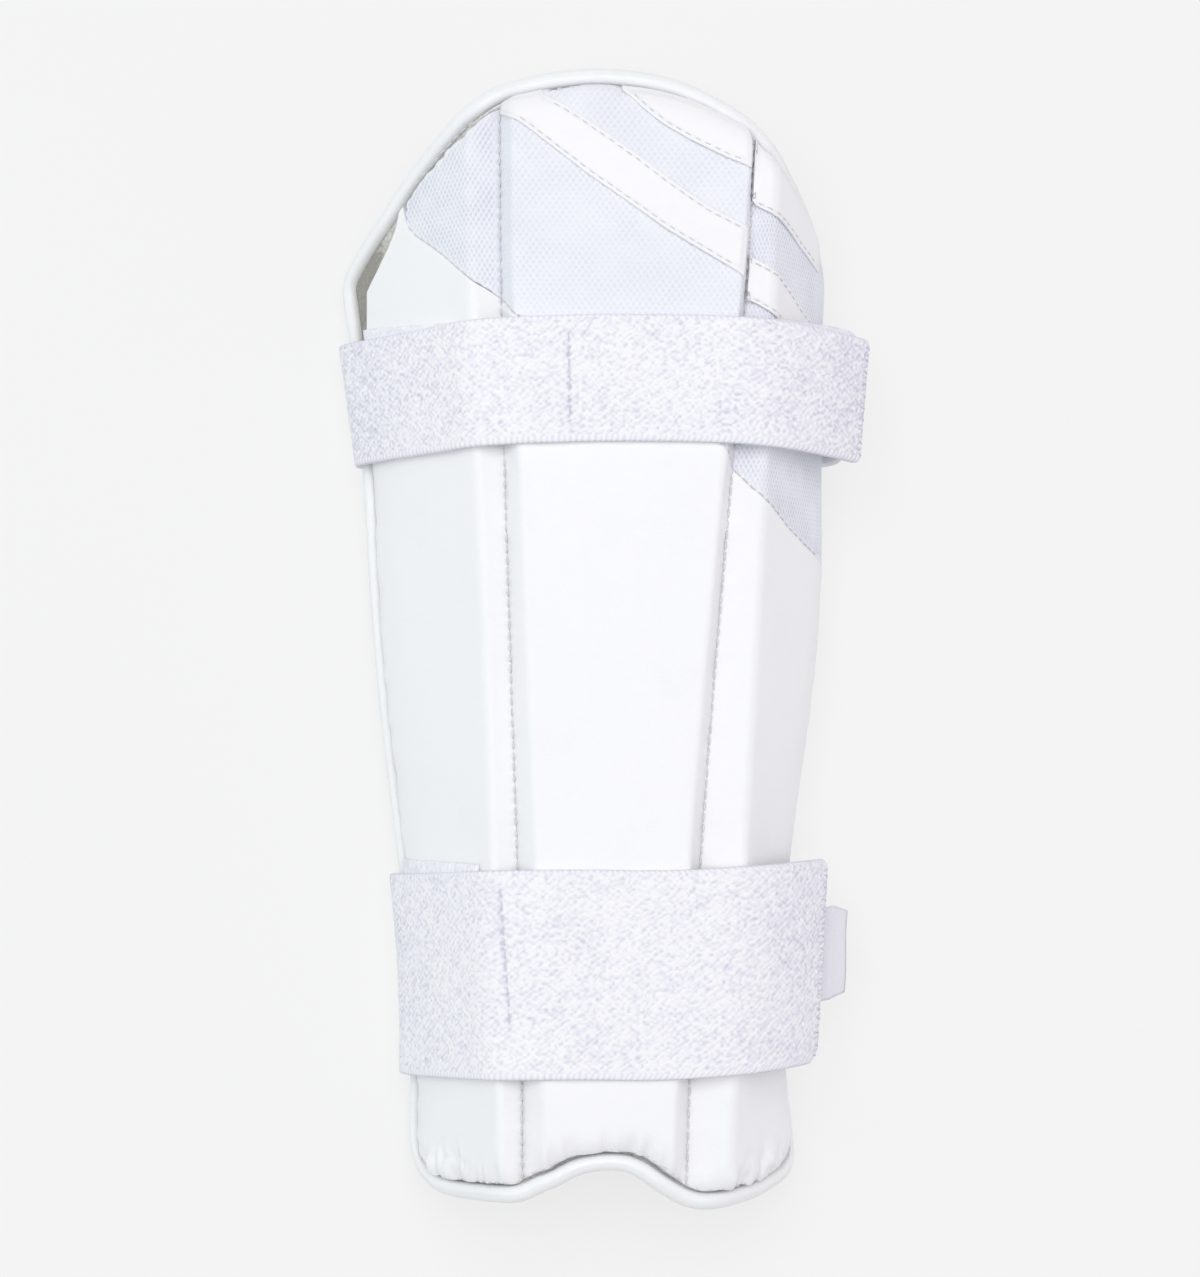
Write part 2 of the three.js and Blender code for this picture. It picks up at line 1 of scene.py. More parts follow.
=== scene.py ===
import bpy, math
import numpy as np
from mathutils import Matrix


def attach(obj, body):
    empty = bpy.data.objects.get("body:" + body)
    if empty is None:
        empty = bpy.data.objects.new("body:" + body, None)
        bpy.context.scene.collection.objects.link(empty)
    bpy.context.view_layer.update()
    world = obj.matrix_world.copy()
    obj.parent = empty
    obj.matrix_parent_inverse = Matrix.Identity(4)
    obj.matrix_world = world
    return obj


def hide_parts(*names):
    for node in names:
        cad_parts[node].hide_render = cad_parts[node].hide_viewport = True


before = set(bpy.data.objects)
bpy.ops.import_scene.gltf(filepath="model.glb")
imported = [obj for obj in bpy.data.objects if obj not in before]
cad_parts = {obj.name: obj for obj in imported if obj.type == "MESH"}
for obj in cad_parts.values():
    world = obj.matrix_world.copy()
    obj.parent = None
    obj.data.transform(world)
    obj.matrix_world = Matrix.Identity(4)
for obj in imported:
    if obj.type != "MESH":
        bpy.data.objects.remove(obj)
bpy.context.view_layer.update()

# ------------------------------------------------------------------ camera
LOOK = (-0.00006, -0.00135, 0.0540)      # middle of the picture, on the front face
DISTANCE = 0.8265
TILT = math.radians(3.5)
cam_data = bpy.data.cameras.new("camera")
cam_data.lens = 91.4
cam_data.sensor_width = 36.0
cam_data.clip_start = 0.05
cam_data.clip_end = 20.0
cam = bpy.data.objects.new("camera", cam_data)
cam.location = (LOOK[0], LOOK[1] - DISTANCE * math.sin(TILT), LOOK[2] + DISTANCE * math.cos(TILT))
cam.rotation_euler = (TILT, 0.0, 0.0)
bpy.context.scene.collection.objects.link(cam)
bpy.context.scene.camera = cam

# ------------------------------------------------------------------ sizes (mm, as in the frame)
SHIFT = np.array([-0.06, -1.35, 0.0])
BASE_THICKNESS = 2.8
PIPING_R = 2.30
PIPING_SETBACK = 2.65
PIPING_DEPTH = 1.0
STRAP_T = 1.6
TAB_T = 0.8
SIDE_BULGE = (2.0, 4.6)
BASE_BULGE = (0.5, 2.2)

# x of the eight folds at stations along the arm
FOLDS = np.array([
    # y     edge   ridge  valley face | face  valley ridge  edge
    [-150, -48.8, -25.3, -20, -13.6, 18.2, 22, 33.2, 49.6],
    [-110, -49, -26, -20, -14.4, 19.2, 22.8, 34.5, 47.2],
    [-60, -51.7, -27.4, -21, -16.3, 22.9, 25.6, 37.4, 48.2],
    [-40, -54.4, -28.15, -21.7, -17.15, 24.5, 27.1, 38.45, 50.3],
    [-20, -57.2, -28.9, -22.4, -18, 26.1, 28.6, 39.5, 53.9],
    [0, -58.7, -29.75, -23.15, -18.8, 27.75, 30.2, 40.55, 57],
    [20, -59.9, -30.6, -23.9, -19.6, 29.4, 31.8, 41.6, 57.3],
    [60, -63.2, -32.2, -25, -21.1, 33, 35.3, 43.4, 57.6],
    [100, -67.7, -33.6, -25.7, -22.4, 37.8, 38.7, 45, 58.5],
    [150, -68.4, -34.2, -26.2, -22.9, 40, 40.6, 46.2, 60.1]])
FOLD_Z = np.array([10.0, 51.2, 49.0, 54.6, 52.6, 47.2, 48.5, 10.0])
FOLD_PAD = np.array([1.8, 5.0, 2.4, 6.5, 6.0, 2.2, 5.0, 1.8])
FOLD_ROUND = np.array([0.0, 2.0, 0.25, 1.1, 0.8, 0.25, 2.0, 0.0])

TOP = np.array([
    (0, 98), (0.1, 101.9), (0.2, 105.8), (0.4, 113.1), (0.57, 120.5), (0.7, 125.1),
    (0.81, 129), (0.93, 132.9), (1.2, 135.5), (1.63, 138.3), (2.2, 140.1), (3, 140.9),
    (3.12, 142.7), (3.25, 143.9), (3.38, 144.1), (3.54, 143.3), (3.65, 142), (3.78, 139.5),
    (3.91, 135.6), (4, 132.9), (5.17, 129.9), (5.5, 128), (6, 126), (6.23, 120.6),
    (6.45, 115.2), (6.7, 108.2), (7, 96.5),])
BOTTOM = np.array([
    (0, -130), (0.04, -133.8), (0.1, -136.5), (0.27, -139.5), (0.51, -140), (1, -139.3),
    (1.85, -139.1), (2.5, -136.3), (3.1, -133), (3.28, -131.4), (3.5, -130.7), (3.64, -130.9),
    (3.77, -131.8), (3.9, -133.8), (4, -135.8), (4.77, -139.1), (5.16, -140.6), (5.38, -141.3),
    (5.67, -141.2), (6.05, -140.7), (6.4, -139.7), (6.8, -136.1), (6.93, -133.3), (7, -130),])
SEAM = np.array([(0.5, 114.5), (0.58, 108.0), (0.79, 101.0), (1.0, 92.8), (1.8, 89.4), (2.06, 88.0), (3.0, 83.4),
    (4.0, 49.0), (5.08, 43.7), (5.6, 39.3), (6.0, 36.6), (6.16, 33.3), (6.29, 30.1), (6.5, 26.4), (7.0, 19.0)])
MAIN_LOW = np.array([(2.1, 136.3), (3.02, 133.9), (3.15, 127.7), (3.32, 119.6), (3.51, 111.7), (3.66, 105.4),
    (3.82, 99.9), (4.0, 93.8), (4.7, 88.6), (5.43, 87.0), (5.86, 85.1), (6.09, 82.8), (7.0, 70.0)])
MAIN_HIGH = np.array([(3.12, 140.4), (3.19, 138.7), (3.28, 135.4), (3.39, 130.7), (3.5, 126.0), (3.7, 117.0),
    (3.84, 111.3), (4.0, 106.5), (5.03, 99.6), (5.45, 98.2), (5.9, 96.4), (6.07, 94.8), (6.23, 91.8), (6.39, 88.0),
    (7.0, 78.0)])
UPPER_LOW = np.array([(3.43, 143.0), (3.49, 140.1), (3.54, 137.0), (3.63, 132.7), (3.75, 128.5), (3.91, 123.9),
    (4.0, 121.9), (5.16, 112.7), (5.71, 111.0), (6.03, 109.5), (6.17, 107.4), (6.36, 103.6), (6.6, 99.5), (7.0, 92.0)])
LEFT_EDGE = np.array([(-160, 0.065), (-110, 0.055), (-40, 0.03), (60, 0.02), (84, 0.125), (90, 0.16), (96, 0.195), (102, 0.245), (108, 0.31), (113, 0.41),
    (160, 0.42)])
STRAPS = {
    "strap_upper": dict(under=1.5, low=51.6, high=84.4, endX=68.8, endZ=31.0, loopOut=65.2, loopZ=19.0, drift=0.088,
                        fold=3.4, foldDrift=0.05, bow=[-1.9, -1.6, -1.4, -1.6, -2.0, -2.4, -2.9, -2.7, -2.7, -2.7, -2.8,
                                                       -2.8, -2.6, -1.4, -1.4, -2.1, -3.4, -4.3]),
    "strap_lower": dict(under=0.5, low=-113.4, high=-60.4, endX=57.0, endZ=30.0, loopOut=54.6, loopZ=16.0, drift=0.06,
                        fold=3.1, foldDrift=0.0, bow=[1.8, 2.2, 3.4, 4.0, 3.4, 2.4, 0.8, 0.2, 0.0, 0.2, 0.5, 0.8, 1.2,
                                                      1.5, 1.6, 2.2, 3.4, 4.2])}

# ------------------------------------------------------------------ numbers
def hash2(ix, iy, seed):
    h = (ix.astype(np.int64) * 374761393 + iy.astype(np.int64) * 668265263 + seed * 1442695041) & 0x7FFFFFFF
    h = ((h ^ (h >> 13)) * 1274126177) & 0x7FFFFFFF
    return ((h ^ (h >> 16)) & 0xFFFFF) / float(0xFFFFF)


def noise(x, y, seed=1):
    """Smooth value noise from -1 to 1, one cell a unit."""
    x = np.asarray(x, float); y = np.asarray(y, float)
    ix, iy = np.floor(x), np.floor(y)
    fx, fy = x - ix, y - iy
    fx = fx * fx * fx * (fx * (fx * 6 - 15) + 10); fy = fy * fy * fy * (fy * (fy * 6 - 15) + 10)
    a, b = hash2(ix, iy, seed), hash2(ix + 1, iy, seed)
    c, d = hash2(ix, iy + 1, seed), hash2(ix + 1, iy + 1, seed)
    return ((a * (1 - fx) + b * fx) * (1 - fy) + (c * (1 - fx) + d * fx) * fy) * 2 - 1


def blur(v, sigma):
    n = max(1, int(3 * sigma))
    k = np.exp(-0.5 * (np.arange(-n, n + 1) / sigma) ** 2); k /= k.sum()
    w = np.concatenate([2 * v[0] - v[n:0:-1], v, 2 * v[-1] - v[-2:-n - 2:-1]])
    return np.convolve(w, k, mode="valid")


LENGTHS = np.array([50.0, 8.2, 7.0, 50.0, 6.0, 9.5, 44.0])      # mm for each unit across
CUM = np.concatenate([[0], np.cumsum(LENGTHS)])
def across_mm(u):
    return np.interp(u, np.arange(8), CUM)
def across_of(s):
    return np.interp(s, CUM, np.arange(8))


class Line:
    """A table y(across), smoothed over a few millimetres."""
    def __init__(self, table, sigma=1.6):
        s0, s1 = across_mm(table[0, 0]), across_mm(table[-1, 0])
        self.s = np.arange(s0, s1 + 0.25, 0.25)
        y = np.interp(self.s, across_mm(table[:, 0]), table[:, 1])
        self.y = blur(y, sigma / 0.25)
    def __call__(self, u):
        return np.interp(across_mm(u), self.s, self.y)
    def slope(self, u):
        s = across_mm(u)
        return (np.interp(s + 0.5, self.s, self.y) - np.interp(s - 0.5, self.s, self.y)) / 1.0


top_of, bottom_of, seam_of = Line(TOP), Line(BOTTOM), Line(SEAM, 1.2)
main_low, main_high, upper_low = Line(MAIN_LOW, 1.0), Line(MAIN_HIGH, 1.0), Line(UPPER_LOW, 1.0)

FITS = [np.polyfit(FOLDS[:, 0] / 150.0, FOLDS[:, k + 1], 6 if k in (0, 7) else 4) for k in range(8)]
def fold_x(k, y):
    return np.polyval(FITS[k], np.clip(y, -152, 152) / 150.0)


def fold_points(y):
    """x and z of the eight folds, for an array of y: shape (8, n)."""
    x = np.stack([fold_x(k, y) for k in range(8)])
    z = np.repeat(FOLD_Z[:, None], x.shape[1], 1)
    return x, z


def base_points(y):
    x, z = fold_points(y)
    dx, dz = np.diff(x, axis=0), np.diff(z, axis=0)
    L = np.hypot(dx, dz)
    nx, nz = -dz / L, dx / L
    mx = np.zeros_like(x); mz = np.zeros_like(z)
    mx[:-1] += nx; mz[:-1] += nz; mx[1:] += nx; mz[1:] += nz
    m = np.hypot(mx, mz)
    return x - mx / m * FOLD_PAD[:, None], z - mz / m * FOLD_PAD[:, None]


def on_folds(points, bulges, rounds, u, y):
    u = np.asarray(u, float); y = np.asarray(y, float)
    shape = np.broadcast(u, y).shape
    u = np.broadcast_to(u, shape).ravel(); y = np.broadcast_to(y, shape).ravel()
    X, Z = points(y)
    k = np.clip(np.floor(u).astype(int), 0, 6); f = u - k
    n = np.arange(len(u))
    ax, az, bx, bz = X[k, n], Z[k, n], X[k + 1, n], Z[k + 1, n]
    px, pz = ax + (bx - ax) * f, az + (bz - az) * f
    L = np.hypot(bx - ax, bz - az)
    # rounded corners at the folds
    for near, at in ((k, f), (k + 1, 1 - f)):
        r = np.minimum(rounds[near], 0.45 * L)
        d = at * L
        inside = (d < r) & (near > 0) & (near < 7)
        if not inside.any():
            continue
        i = np.nonzero(inside)[0]
        c = near[i]
        cx, cz = X[c, i], Z[c, i]
        lx, lz = X[c - 1, i] - cx, Z[c - 1, i] - cz
        rx, rz = X[c + 1, i] - cx, Z[c + 1, i] - cz
        ll, rl = np.hypot(lx, lz), np.hypot(rx, rz)
        rr_l, rr_r = np.minimum(rounds[c], 0.45 * ll), np.minimum(rounds[c], 0.45 * rl)
        left = (near[i] == k[i] + 1)
        t = np.where(left, 0.5 * (1 - d[i] / rr_l), 0.5 * (1 + d[i] / rr_r))
        p0x, p0z = cx + lx / ll * rr_l, cz + lz / ll * rr_l
        p2x, p2z = cx + rx / rl * rr_r, cz + rz / rl * rr_r
        px[i] = (1 - t) ** 2 * p0x + 2 * t * (1 - t) * cx + t * t * p2x
        pz[i] = (1 - t) ** 2 * p0z + 2 * t * (1 - t) * cz + t * t * p2z
    # the side panels are flat on the slope and full near the binding
    g = np.where(k == 6, f, 1 - f)
    b = np.where(k == 0, bulges[0], np.where(k == 6, bulges[1], 0.0)) * 1.62 * g * (1 - g ** 6)
    nx, nz = -(bz - az) / L, (bx - ax) / L
    return (px + nx * b).reshape(shape), (pz + nz * b).reshape(shape)


BASE_ROUND = np.array([0.0, 9.0, 3.0, 3.0, 3.0, 3.0, 9.0, 0.0])
def front(u, y):
    return on_folds(fold_points, SIDE_BULGE, FOLD_ROUND, u, y)
def base(u, y):
    return on_folds(base_points, BASE_BULGE, BASE_ROUND, u, y)


def crown(d, length, least):
    """Share of the full height at distance d from a sewn edge."""
    q = 1 - np.clip(d / length, 0, 1)
    return least + (1 - least) * np.sqrt(np.maximum(0, 1 - q * q))


def padded(u, y, extra=None):
    """Outer face of the padded panels."""
    d_end = np.minimum(top_of(u) - y, y - bottom_of(u))
    h = crown(d_end, 7.5, 0.30)
    side = np.minimum(across_mm(u), CUM[7] - across_mm(u))
    h = np.minimum(h, crown(side, 5.0, 0.45))
    bx, bz = base(u, y)
    fx, fz = front(u, y)
    return bx + (fx - bx) * h, bz + (fz - bz) * h


def as3(x, y, z):
    x, y, z = np.broadcast_arrays(x, y, z)
    return np.stack([x, y, z], -1)


def surf(u, y):
    x, z = padded(u, y)
    return as3(x, y, z)


def surf_normal(u, y, eu=0.012, ey=0.4):
    du = surf(np.minimum(u + eu, 7), y) - surf(np.maximum(u - eu, 0), y)
    dy = surf(u, y + ey) - surf(u, y - ey)
    n = np.cross(du, dy)
    return n / np.linalg.norm(n, axis=-1, keepdims=True)


# ------------------------------------------------------------------ meshes
def make(name, verts, faces, material, smooth=True, attributes=None):
    """verts in mm (n, 3); faces: list of integer arrays, each (m, 3) or (m, 4)."""
    verts = np.asarray(verts, float) + SHIFT
    mesh = bpy.data.meshes.new(name)
    mesh.vertices.add(len(verts))
    mesh.vertices.foreach_set("co", (verts / 1000.0).astype(np.float32).ravel())
    loops = np.concatenate([f.ravel() for f in faces]).astype(np.int32)
    counts = np.concatenate([np.full(len(f), f.shape[1]) for f in faces])
    starts = np.concatenate([[0], np.cumsum(counts)[:-1]]).astype(np.int32)
    mesh.loops.add(len(loops))
    mesh.loops.foreach_set("vertex_index", loops)
    mesh.polygons.add(len(counts))
    mesh.polygons.foreach_set("loop_start", starts)
    mesh.update(calc_edges=True)
    mesh.polygons.foreach_set("use_smooth", np.full(len(counts), bool(smooth)))
    for key, value in (attributes or {}).items():
        value = np.asarray(value, np.float32)
        if value.ndim == 1:
            mesh.attributes.new(key, "FLOAT", "POINT").data.foreach_set("value", value)
        else:
            mesh.attributes.new(key, "FLOAT_VECTOR", "POINT").data.foreach_set("vector", value.ravel())
    mesh.materials.append(material)
    obj = bpy.data.objects.new(name, mesh)
    bpy.context.scene.collection.objects.link(obj)
    return obj


def grid_quads(rows, cols, offset=0, flip=False):
    r, c = np.meshgrid(np.arange(rows - 1), np.arange(cols - 1), indexing="ij")
    a = offset + r * cols + c
    q = np.stack([a, a + 1, a + cols + 1, a + cols], -1).reshape(-1, 4)
    return q[:, ::-1] if flip else q


def loop_of(rows, cols, offset=0, step=1):
    """Boundary of a grid, anticlockwise when columns run right and rows run up."""
    r, c = np.arange(0, rows, step), np.arange(0, cols, step)
    a = c[:-1]
    b = (cols - 1) + r[:-1] * cols
    d = (rows - 1) * cols + c[:0:-1]
    e = r[:0:-1] * cols
    return offset + np.concatenate([a, b, d, e])


def solid(outer, inner, k):
    """Closed solid from a fine outer grid and an inner grid k times coarser."""
    R, C = outer.shape[:2]
    r, c = inner.shape[:2]
    assert (R - 1) == (r - 1) * k and (C - 1) == (c - 1) * k, (R, C, r, c, k)
    V = np.concatenate([outer.reshape(-1, 3), inner.reshape(-1, 3)])
    off = R * C
    fine, coarse = loop_of(R, C), loop_of(r, c, off)
    m = len(coarse)
    tris = []
    for j in range(k):
        i = np.arange(m) * k + j
        f0, f1 = fine[i], fine[(i + 1) % len(fine)]
        c0, c1 = coarse, np.roll(coarse, -1)
        if j < (k + 1) // 2:
            tris.append(np.stack([f1, f0, c0], -1))
            if j == (k + 1) // 2 - 1:
                tris.append(np.stack([c1, f1, c0], -1))
        else:
            tris.append(np.stack([f1, f0, c1], -1))
    faces = [grid_quads(R, C), grid_quads(r, c, off, flip=True), np.concatenate(tris)]
    # faces out: the outer grid's normal has to point away from the inner grid
    p = outer[R // 2, C // 2]; q = inner[r // 2, c // 2]
    n = np.cross(outer[R // 2, min(C // 2 + 1, C - 1)] - p, outer[min(R // 2 + 1, R - 1), C // 2] - p)
    if np.dot(n, p - q) < 0:
        faces = [f[:, ::-1] for f in faces]
    return V, faces


def spaced(length, h, k, edge=(0.12, 0.35, 0.75, 1.35)):
    """Places 0 to 1: close together near both ends, h apart between, count a multiple of k."""
    edge = [e for e in edge if e < length * 0.2]
    start = edge[-1] if edge else 0.0
    n = max(4, int(round((length - 2 * start) / h)))
    total = n + 2 * len(edge)
    n += (-total) % k
    mid = start + (length - 2 * start) * np.arange(n + 1) / n
    full = np.concatenate([[0.0], edge[:-1], mid, [length - e for e in edge[:-1][::-1]], [length]]) if edge else mid
    return full / length


def coarse_of(grid, k):
    return grid[::k, ::k]


def tube(points, normals, radius, sides, phase=0.0, closed=True, squash=None):
    """Tube round a path: ring positions (n, sides, 3)."""
    p = np.asarray(points)
    t = np.roll(p, -1, 0) - np.roll(p, 1, 0) if closed else np.gradient(p, axis=0)
    t /= np.linalg.norm(t, axis=1, keepdims=True)
    n = normals - (normals * t).sum(1, keepdims=True) * t
    n /= np.linalg.norm(n, axis=1, keepdims=True)
    b = np.cross(t, n)
    a = phase + np.arange(sides) * 2 * np.pi / sides
    r = radius if np.ndim(radius) == 2 else np.broadcast_to(np.reshape(radius, (-1, 1)), (len(p), sides))
    return p[:, None] + (np.cos(a)[None, :, None] * n[:, None] + np.sin(a)[None, :, None] * b[:, None]) * r[..., None], a


def tube_faces(rings, sides, closed, offset=0):
    i, j = np.meshgrid(np.arange(rings if closed else rings - 1), np.arange(sides), indexing="ij")
    a = i * sides + j; b = i * sides + (j + 1) % sides
    c = ((i + 1) % rings) * sides + (j + 1) % sides; d = ((i + 1) % rings) * sides + j
    return offset + np.stack([a, b, c, d], -1).reshape(-1, 4)


def resample(points, step, closed=False):
    p = np.asarray(points, float)
    if closed:
        p = np.concatenate([p, p[:1]])
    s = np.concatenate([[0], np.cumsum(np.linalg.norm(np.diff(p, axis=0), axis=1))])
    n = max(2, int(round(s[-1] / step)))
    t = np.linspace(0, s[-1], n + 1)
    out = np.stack([np.interp(t, s, p[:, i]) for i in range(p.shape[1])], -1)
    return (out[:-1] if closed else out), s[-1]


# ------------------------------------------------------------------ materials
def material(name, build):
    m = bpy.data.materials.new(name)
    m.use_nodes = True
    nt = m.node_tree
    nt.nodes.clear()
    out = nt.nodes.new("ShaderNodeOutputMaterial")
    bsdf = nt.nodes.new("ShaderNodeBsdfPrincipled")
    nt.links.new(bsdf.outputs[0], out.inputs[0])
    build(nt, bsdf)
    return m


class N:
    """Short hand for wiring nodes."""
    def __init__(self, nt):
        self.nt = nt
    def new(self, kind, **props):
        n = self.nt.nodes.new(kind)
        for k, v in props.items():
            setattr(n, k, v)
        return n
    def put(self, socket, value):
        if isinstance(value, bpy.types.NodeSocket):
            self.nt.links.new(value, socket)
        else:
            socket.default_value = value
    def attr(self, name, out="Fac"):
        n = self.new("ShaderNodeAttribute", attribute_name=name)
        return n.outputs[out]
    def math(self, op, a, b=0.0, c=0.0, clamp=False):
        n = self.new("ShaderNodeMath", operation=op, use_clamp=clamp)
        for i, v in enumerate((a, b, c)):
            self.put(n.inputs[i], v)
        return n.outputs[0]
    def vmul(self, v, s):
        n = self.new("ShaderNodeVectorMath", operation="MULTIPLY")
        self.put(n.inputs[0], v); n.inputs[1].default_value = s
        return n.outputs[0]
    def noise(self, vec, scale, detail=2.0, rough=0.5, distort=0.0, color=False):
        n = self.new("ShaderNodeTexNoise")
        self.put(n.inputs["Vector"], vec); n.inputs["Scale"].default_value = scale
        n.inputs["Detail"].default_value = detail; n.inputs["Roughness"].default_value = rough
        n.inputs["Distortion"].default_value = distort
        return n.outputs[1 if color else 0]
    def voronoi(self, vec, scale, feature="F1", random=1.0):
        n = self.new("ShaderNodeTexVoronoi", feature=feature)
        self.put(n.inputs["Vector"], vec); n.inputs["Scale"].default_value = scale
        n.inputs["Randomness"].default_value = random
        return n.outputs["Distance"]
    def ramp(self, fac, stops, interpolation="LINEAR"):
        n = self.new("ShaderNodeValToRGB")
        self.put(n.inputs[0], fac)
        cr = n.color_ramp
        cr.interpolation = interpolation
        while len(cr.elements) < len(stops):
            cr.elements.new(0.5)
        for e, (pos, col) in zip(cr.elements, stops):
            e.position = pos
            e.color = (*col, 1.0) if len(col) == 3 else col
        return n.outputs[0]
    def remap(self, v, a, b, c, d):
        n = self.new("ShaderNodeMapRange", clamp=True)
        self.put(n.inputs[0], v)
        for i, x in enumerate((a, b, c, d)):
            n.inputs[i + 1].default_value = x
        return n.outputs[0]
    def bump(self, height, strength, distance, normal=None):
        n = self.new("ShaderNodeBump")
        self.put(n.inputs["Height"], height)
        n.inputs["Strength"].default_value = strength; n.inputs["Distance"].default_value = distance
        if normal is not None:
            self.put(n.inputs["Normal"], normal)
        return n.outputs[0]


def pu_material(name, light, dark, rough=(0.42, 0.56), grain=0.09):
    """Coated synthetic leather: fine pores, soft mottling, and painted shade in the folds and gaps."""
    def build(nt, bsdf):
        n = N(nt)
        vec = n.attr("cloth", "Vector")
        fine = n.noise(vec, 1.9, 5.0, 0.62)
        pores = n.voronoi(vec, 2.4)
        broad = n.noise(vec, 0.045, 3.0, 0.5)
        fold_shade = n.attr("fold")
        mix = n.math("MULTIPLY_ADD", fine, 0.34, n.math("MULTIPLY_ADD", broad, 0.25, 0.16))
        # painted shade: the fold mask darkens the colour in valleys, stitch rows and the gap by the piping
        mix = n.math("SUBTRACT", mix, n.math("MULTIPLY", fold_shade, 0.35))
        col = n.ramp(mix, [(0.0, dark), (0.44, light)])
        nt.links.new(col, bsdf.inputs["Base Color"])
        nt.links.new(n.remap(n.noise(vec, 0.35, 4.0, 0.6), 0.3, 0.7, rough[0], rough[1]), bsdf.inputs["Roughness"])
        h = n.math("MULTIPLY_ADD", pores, 0.35, fine)
        b1 = n.bump(h, 0.5, grain * 1e-3)
        b2 = n.bump(n.noise(vec, 0.22, 3.0, 0.55, 0.4), 0.35, 0.35e-3, b1)
        nt.links.new(b2, bsdf.inputs["Normal"])
        bsdf.inputs["Specular IOR Level"].default_value = 0.42
        bsdf.inputs["Sheen Weight"].default_value = 0.05
        bsdf.inputs["Subsurface Weight"].default_value = 0.0
    return material(name, build)


PU = pu_material("smooth_cover", (0.950, 0.953, 0.968), (0.74, 0.75, 0.78))
BAND = pu_material("band_cover", (0.94, 0.94, 0.955), (0.76, 0.76, 0.80), (0.36, 0.5), 0.07)
BINDING = pu_material("edge_binding", (0.94, 0.95, 0.96), (0.62, 0.63, 0.61), (0.30, 0.44), 0.06)


def mesh_build(nt, bsdf):
    """Embossed spacer mesh: the dimples are in the surface, the weave between them in the bump."""
    n = N(nt)
    vec = n.attr("cloth", "Vector")
    dimple = n.attr("dimple")
    fold = n.attr("fold")
    weave = n.noise(n.vmul(vec, (1.0, 1.0, 1.0)), 3.2, 3.0, 0.6)
    broad = n.noise(vec, 0.05, 3.0, 0.5)
    shade = n.math("MULTIPLY_ADD", weave, 0.24, n.math("MULTIPLY", broad, 0.12))
    # painted shade: the dimple hollows and the fold mask (valleys, binding gap) darken the colour
    shade = n.math("SUBTRACT", shade, n.math("MULTIPLY", dimple, 0.26))
    shade = n.math("SUBTRACT", shade, n.math("MULTIPLY", fold, 0.30))
    col = n.ramp(shade, [(0.0, (0.70, 0.72, 0.81)), (0.20, (0.925, 0.942, 0.99))])
    nt.links.new(col, bsdf.inputs["Base Color"])
    bsdf.inputs["Roughness"].default_value = 0.78
    bsdf.inputs["Specular IOR Level"].default_value = 0.3
    bsdf.inputs["Sheen Weight"].default_value = 0.25
    bsdf.inputs["Sheen Roughness"].default_value = 0.5
    b1 = n.bump(weave, 0.6, 0.10e-3)
    nt.links.new(b1, bsdf.inputs["Normal"])
MESH = material("mesh_cover", mesh_build)


def elastic_build(nt, bsdf):
    """Woven elastic with a pebbled loop face; the knops are in the surface, the fibres in the bump."""
    n = N(nt)
    vec = n.attr("cloth", "Vector")
    fold = n.attr("fold")
    fibre = n.noise(n.vmul(vec, (1.0, 1.5, 1.0)), 2.6, 3.0, 0.65, 0.4)
    loops = n.noise(vec, 1.1, 2.0, 0.6, 0.6)
    h = n.math("MULTIPLY_ADD", fibre, 0.55, n.math("MULTIPLY_ADD", loops, 0.35, n.attr("pebble")))   # about 0.2 to 1.7
    # painted shade: the pits between knops and the fold mask (edges, stitch groove, sides turning from the light)
    # darken the colour
    shade = n.math("SUBTRACT", n.math("MULTIPLY", h, 0.6), n.math("MULTIPLY", fold, 0.30))
    col = n.ramp(shade, [(0.08, (0.62, 0.615, 0.73)), (0.43, (0.86, 0.856, 0.925)), (0.68, (0.975, 0.974, 0.998))])
    nt.links.new(col, bsdf.inputs["Base Color"])
    bsdf.inputs["Roughness"].default_value = 0.9
    bsdf.inputs["Specular IOR Level"].default_value = 0.25
    bsdf.inputs["Sheen Weight"].default_value = 0.08
    bsdf.inputs["Sheen Roughness"].default_value = 0.45
    nt.links.new(n.bump(h, 0.8, 0.14e-3), bsdf.inputs["Normal"])
ELASTIC = material("elastic_webbing", elastic_build)


def towel_build(nt, bsdf):
    n = N(nt)
    vec = n.attr("cloth", "Vector")
    loops = n.voronoi(vec, 0.95)
    fuzz = n.noise(vec, 2.6, 4.0, 0.7)
    broad = n.noise(vec, 0.06, 2.0, 0.5)
    h = n.math("MULTIPLY_ADD", fuzz, 0.7, n.math("MULTIPLY", loops, -0.9))
    shade = n.math("MULTIPLY_ADD", h, 0.35, n.math("MULTIPLY_ADD", broad, 0.3, 0.25))
    # painted shadow from the fold mask, in the gap between the piping and the left panel
    shade = n.math("SUBTRACT", shade, n.math("MULTIPLY", n.attr("fold"), 0.62))
    col = n.ramp(shade, [(0.0, (0.34, 0.325, 0.29)), (0.42, (0.80, 0.79, 0.755))])
    nt.links.new(col, bsdf.inputs["Base Color"])
    bsdf.inputs["Roughness"].default_value = 0.95
    bsdf.inputs["Sheen Weight"].default_value = 0.4
    nt.links.new(n.bump(h, 0.9, 0.5e-3), bsdf.inputs["Normal"])
TOWEL = material("towelling_base", towel_build)


def thread_build(nt, bsdf):
    n = N(nt)
    vec = n.attr("cloth", "Vector")
    ply = n.noise(vec, 4.0, 2.0, 0.6)
    col = n.ramp(ply, [(0.3, (0.64, 0.63, 0.63)), (0.7, (0.83, 0.82, 0.83))])
    nt.links.new(col, bsdf.inputs["Base Color"])
    bsdf.inputs["Roughness"].default_value = 0.6
    bsdf.inputs["Sheen Weight"].default_value = 0.2
    nt.links.new(n.bump(ply, 0.6, 0.08e-3), bsdf.inputs["Normal"])
THREAD = material("thread", thread_build)


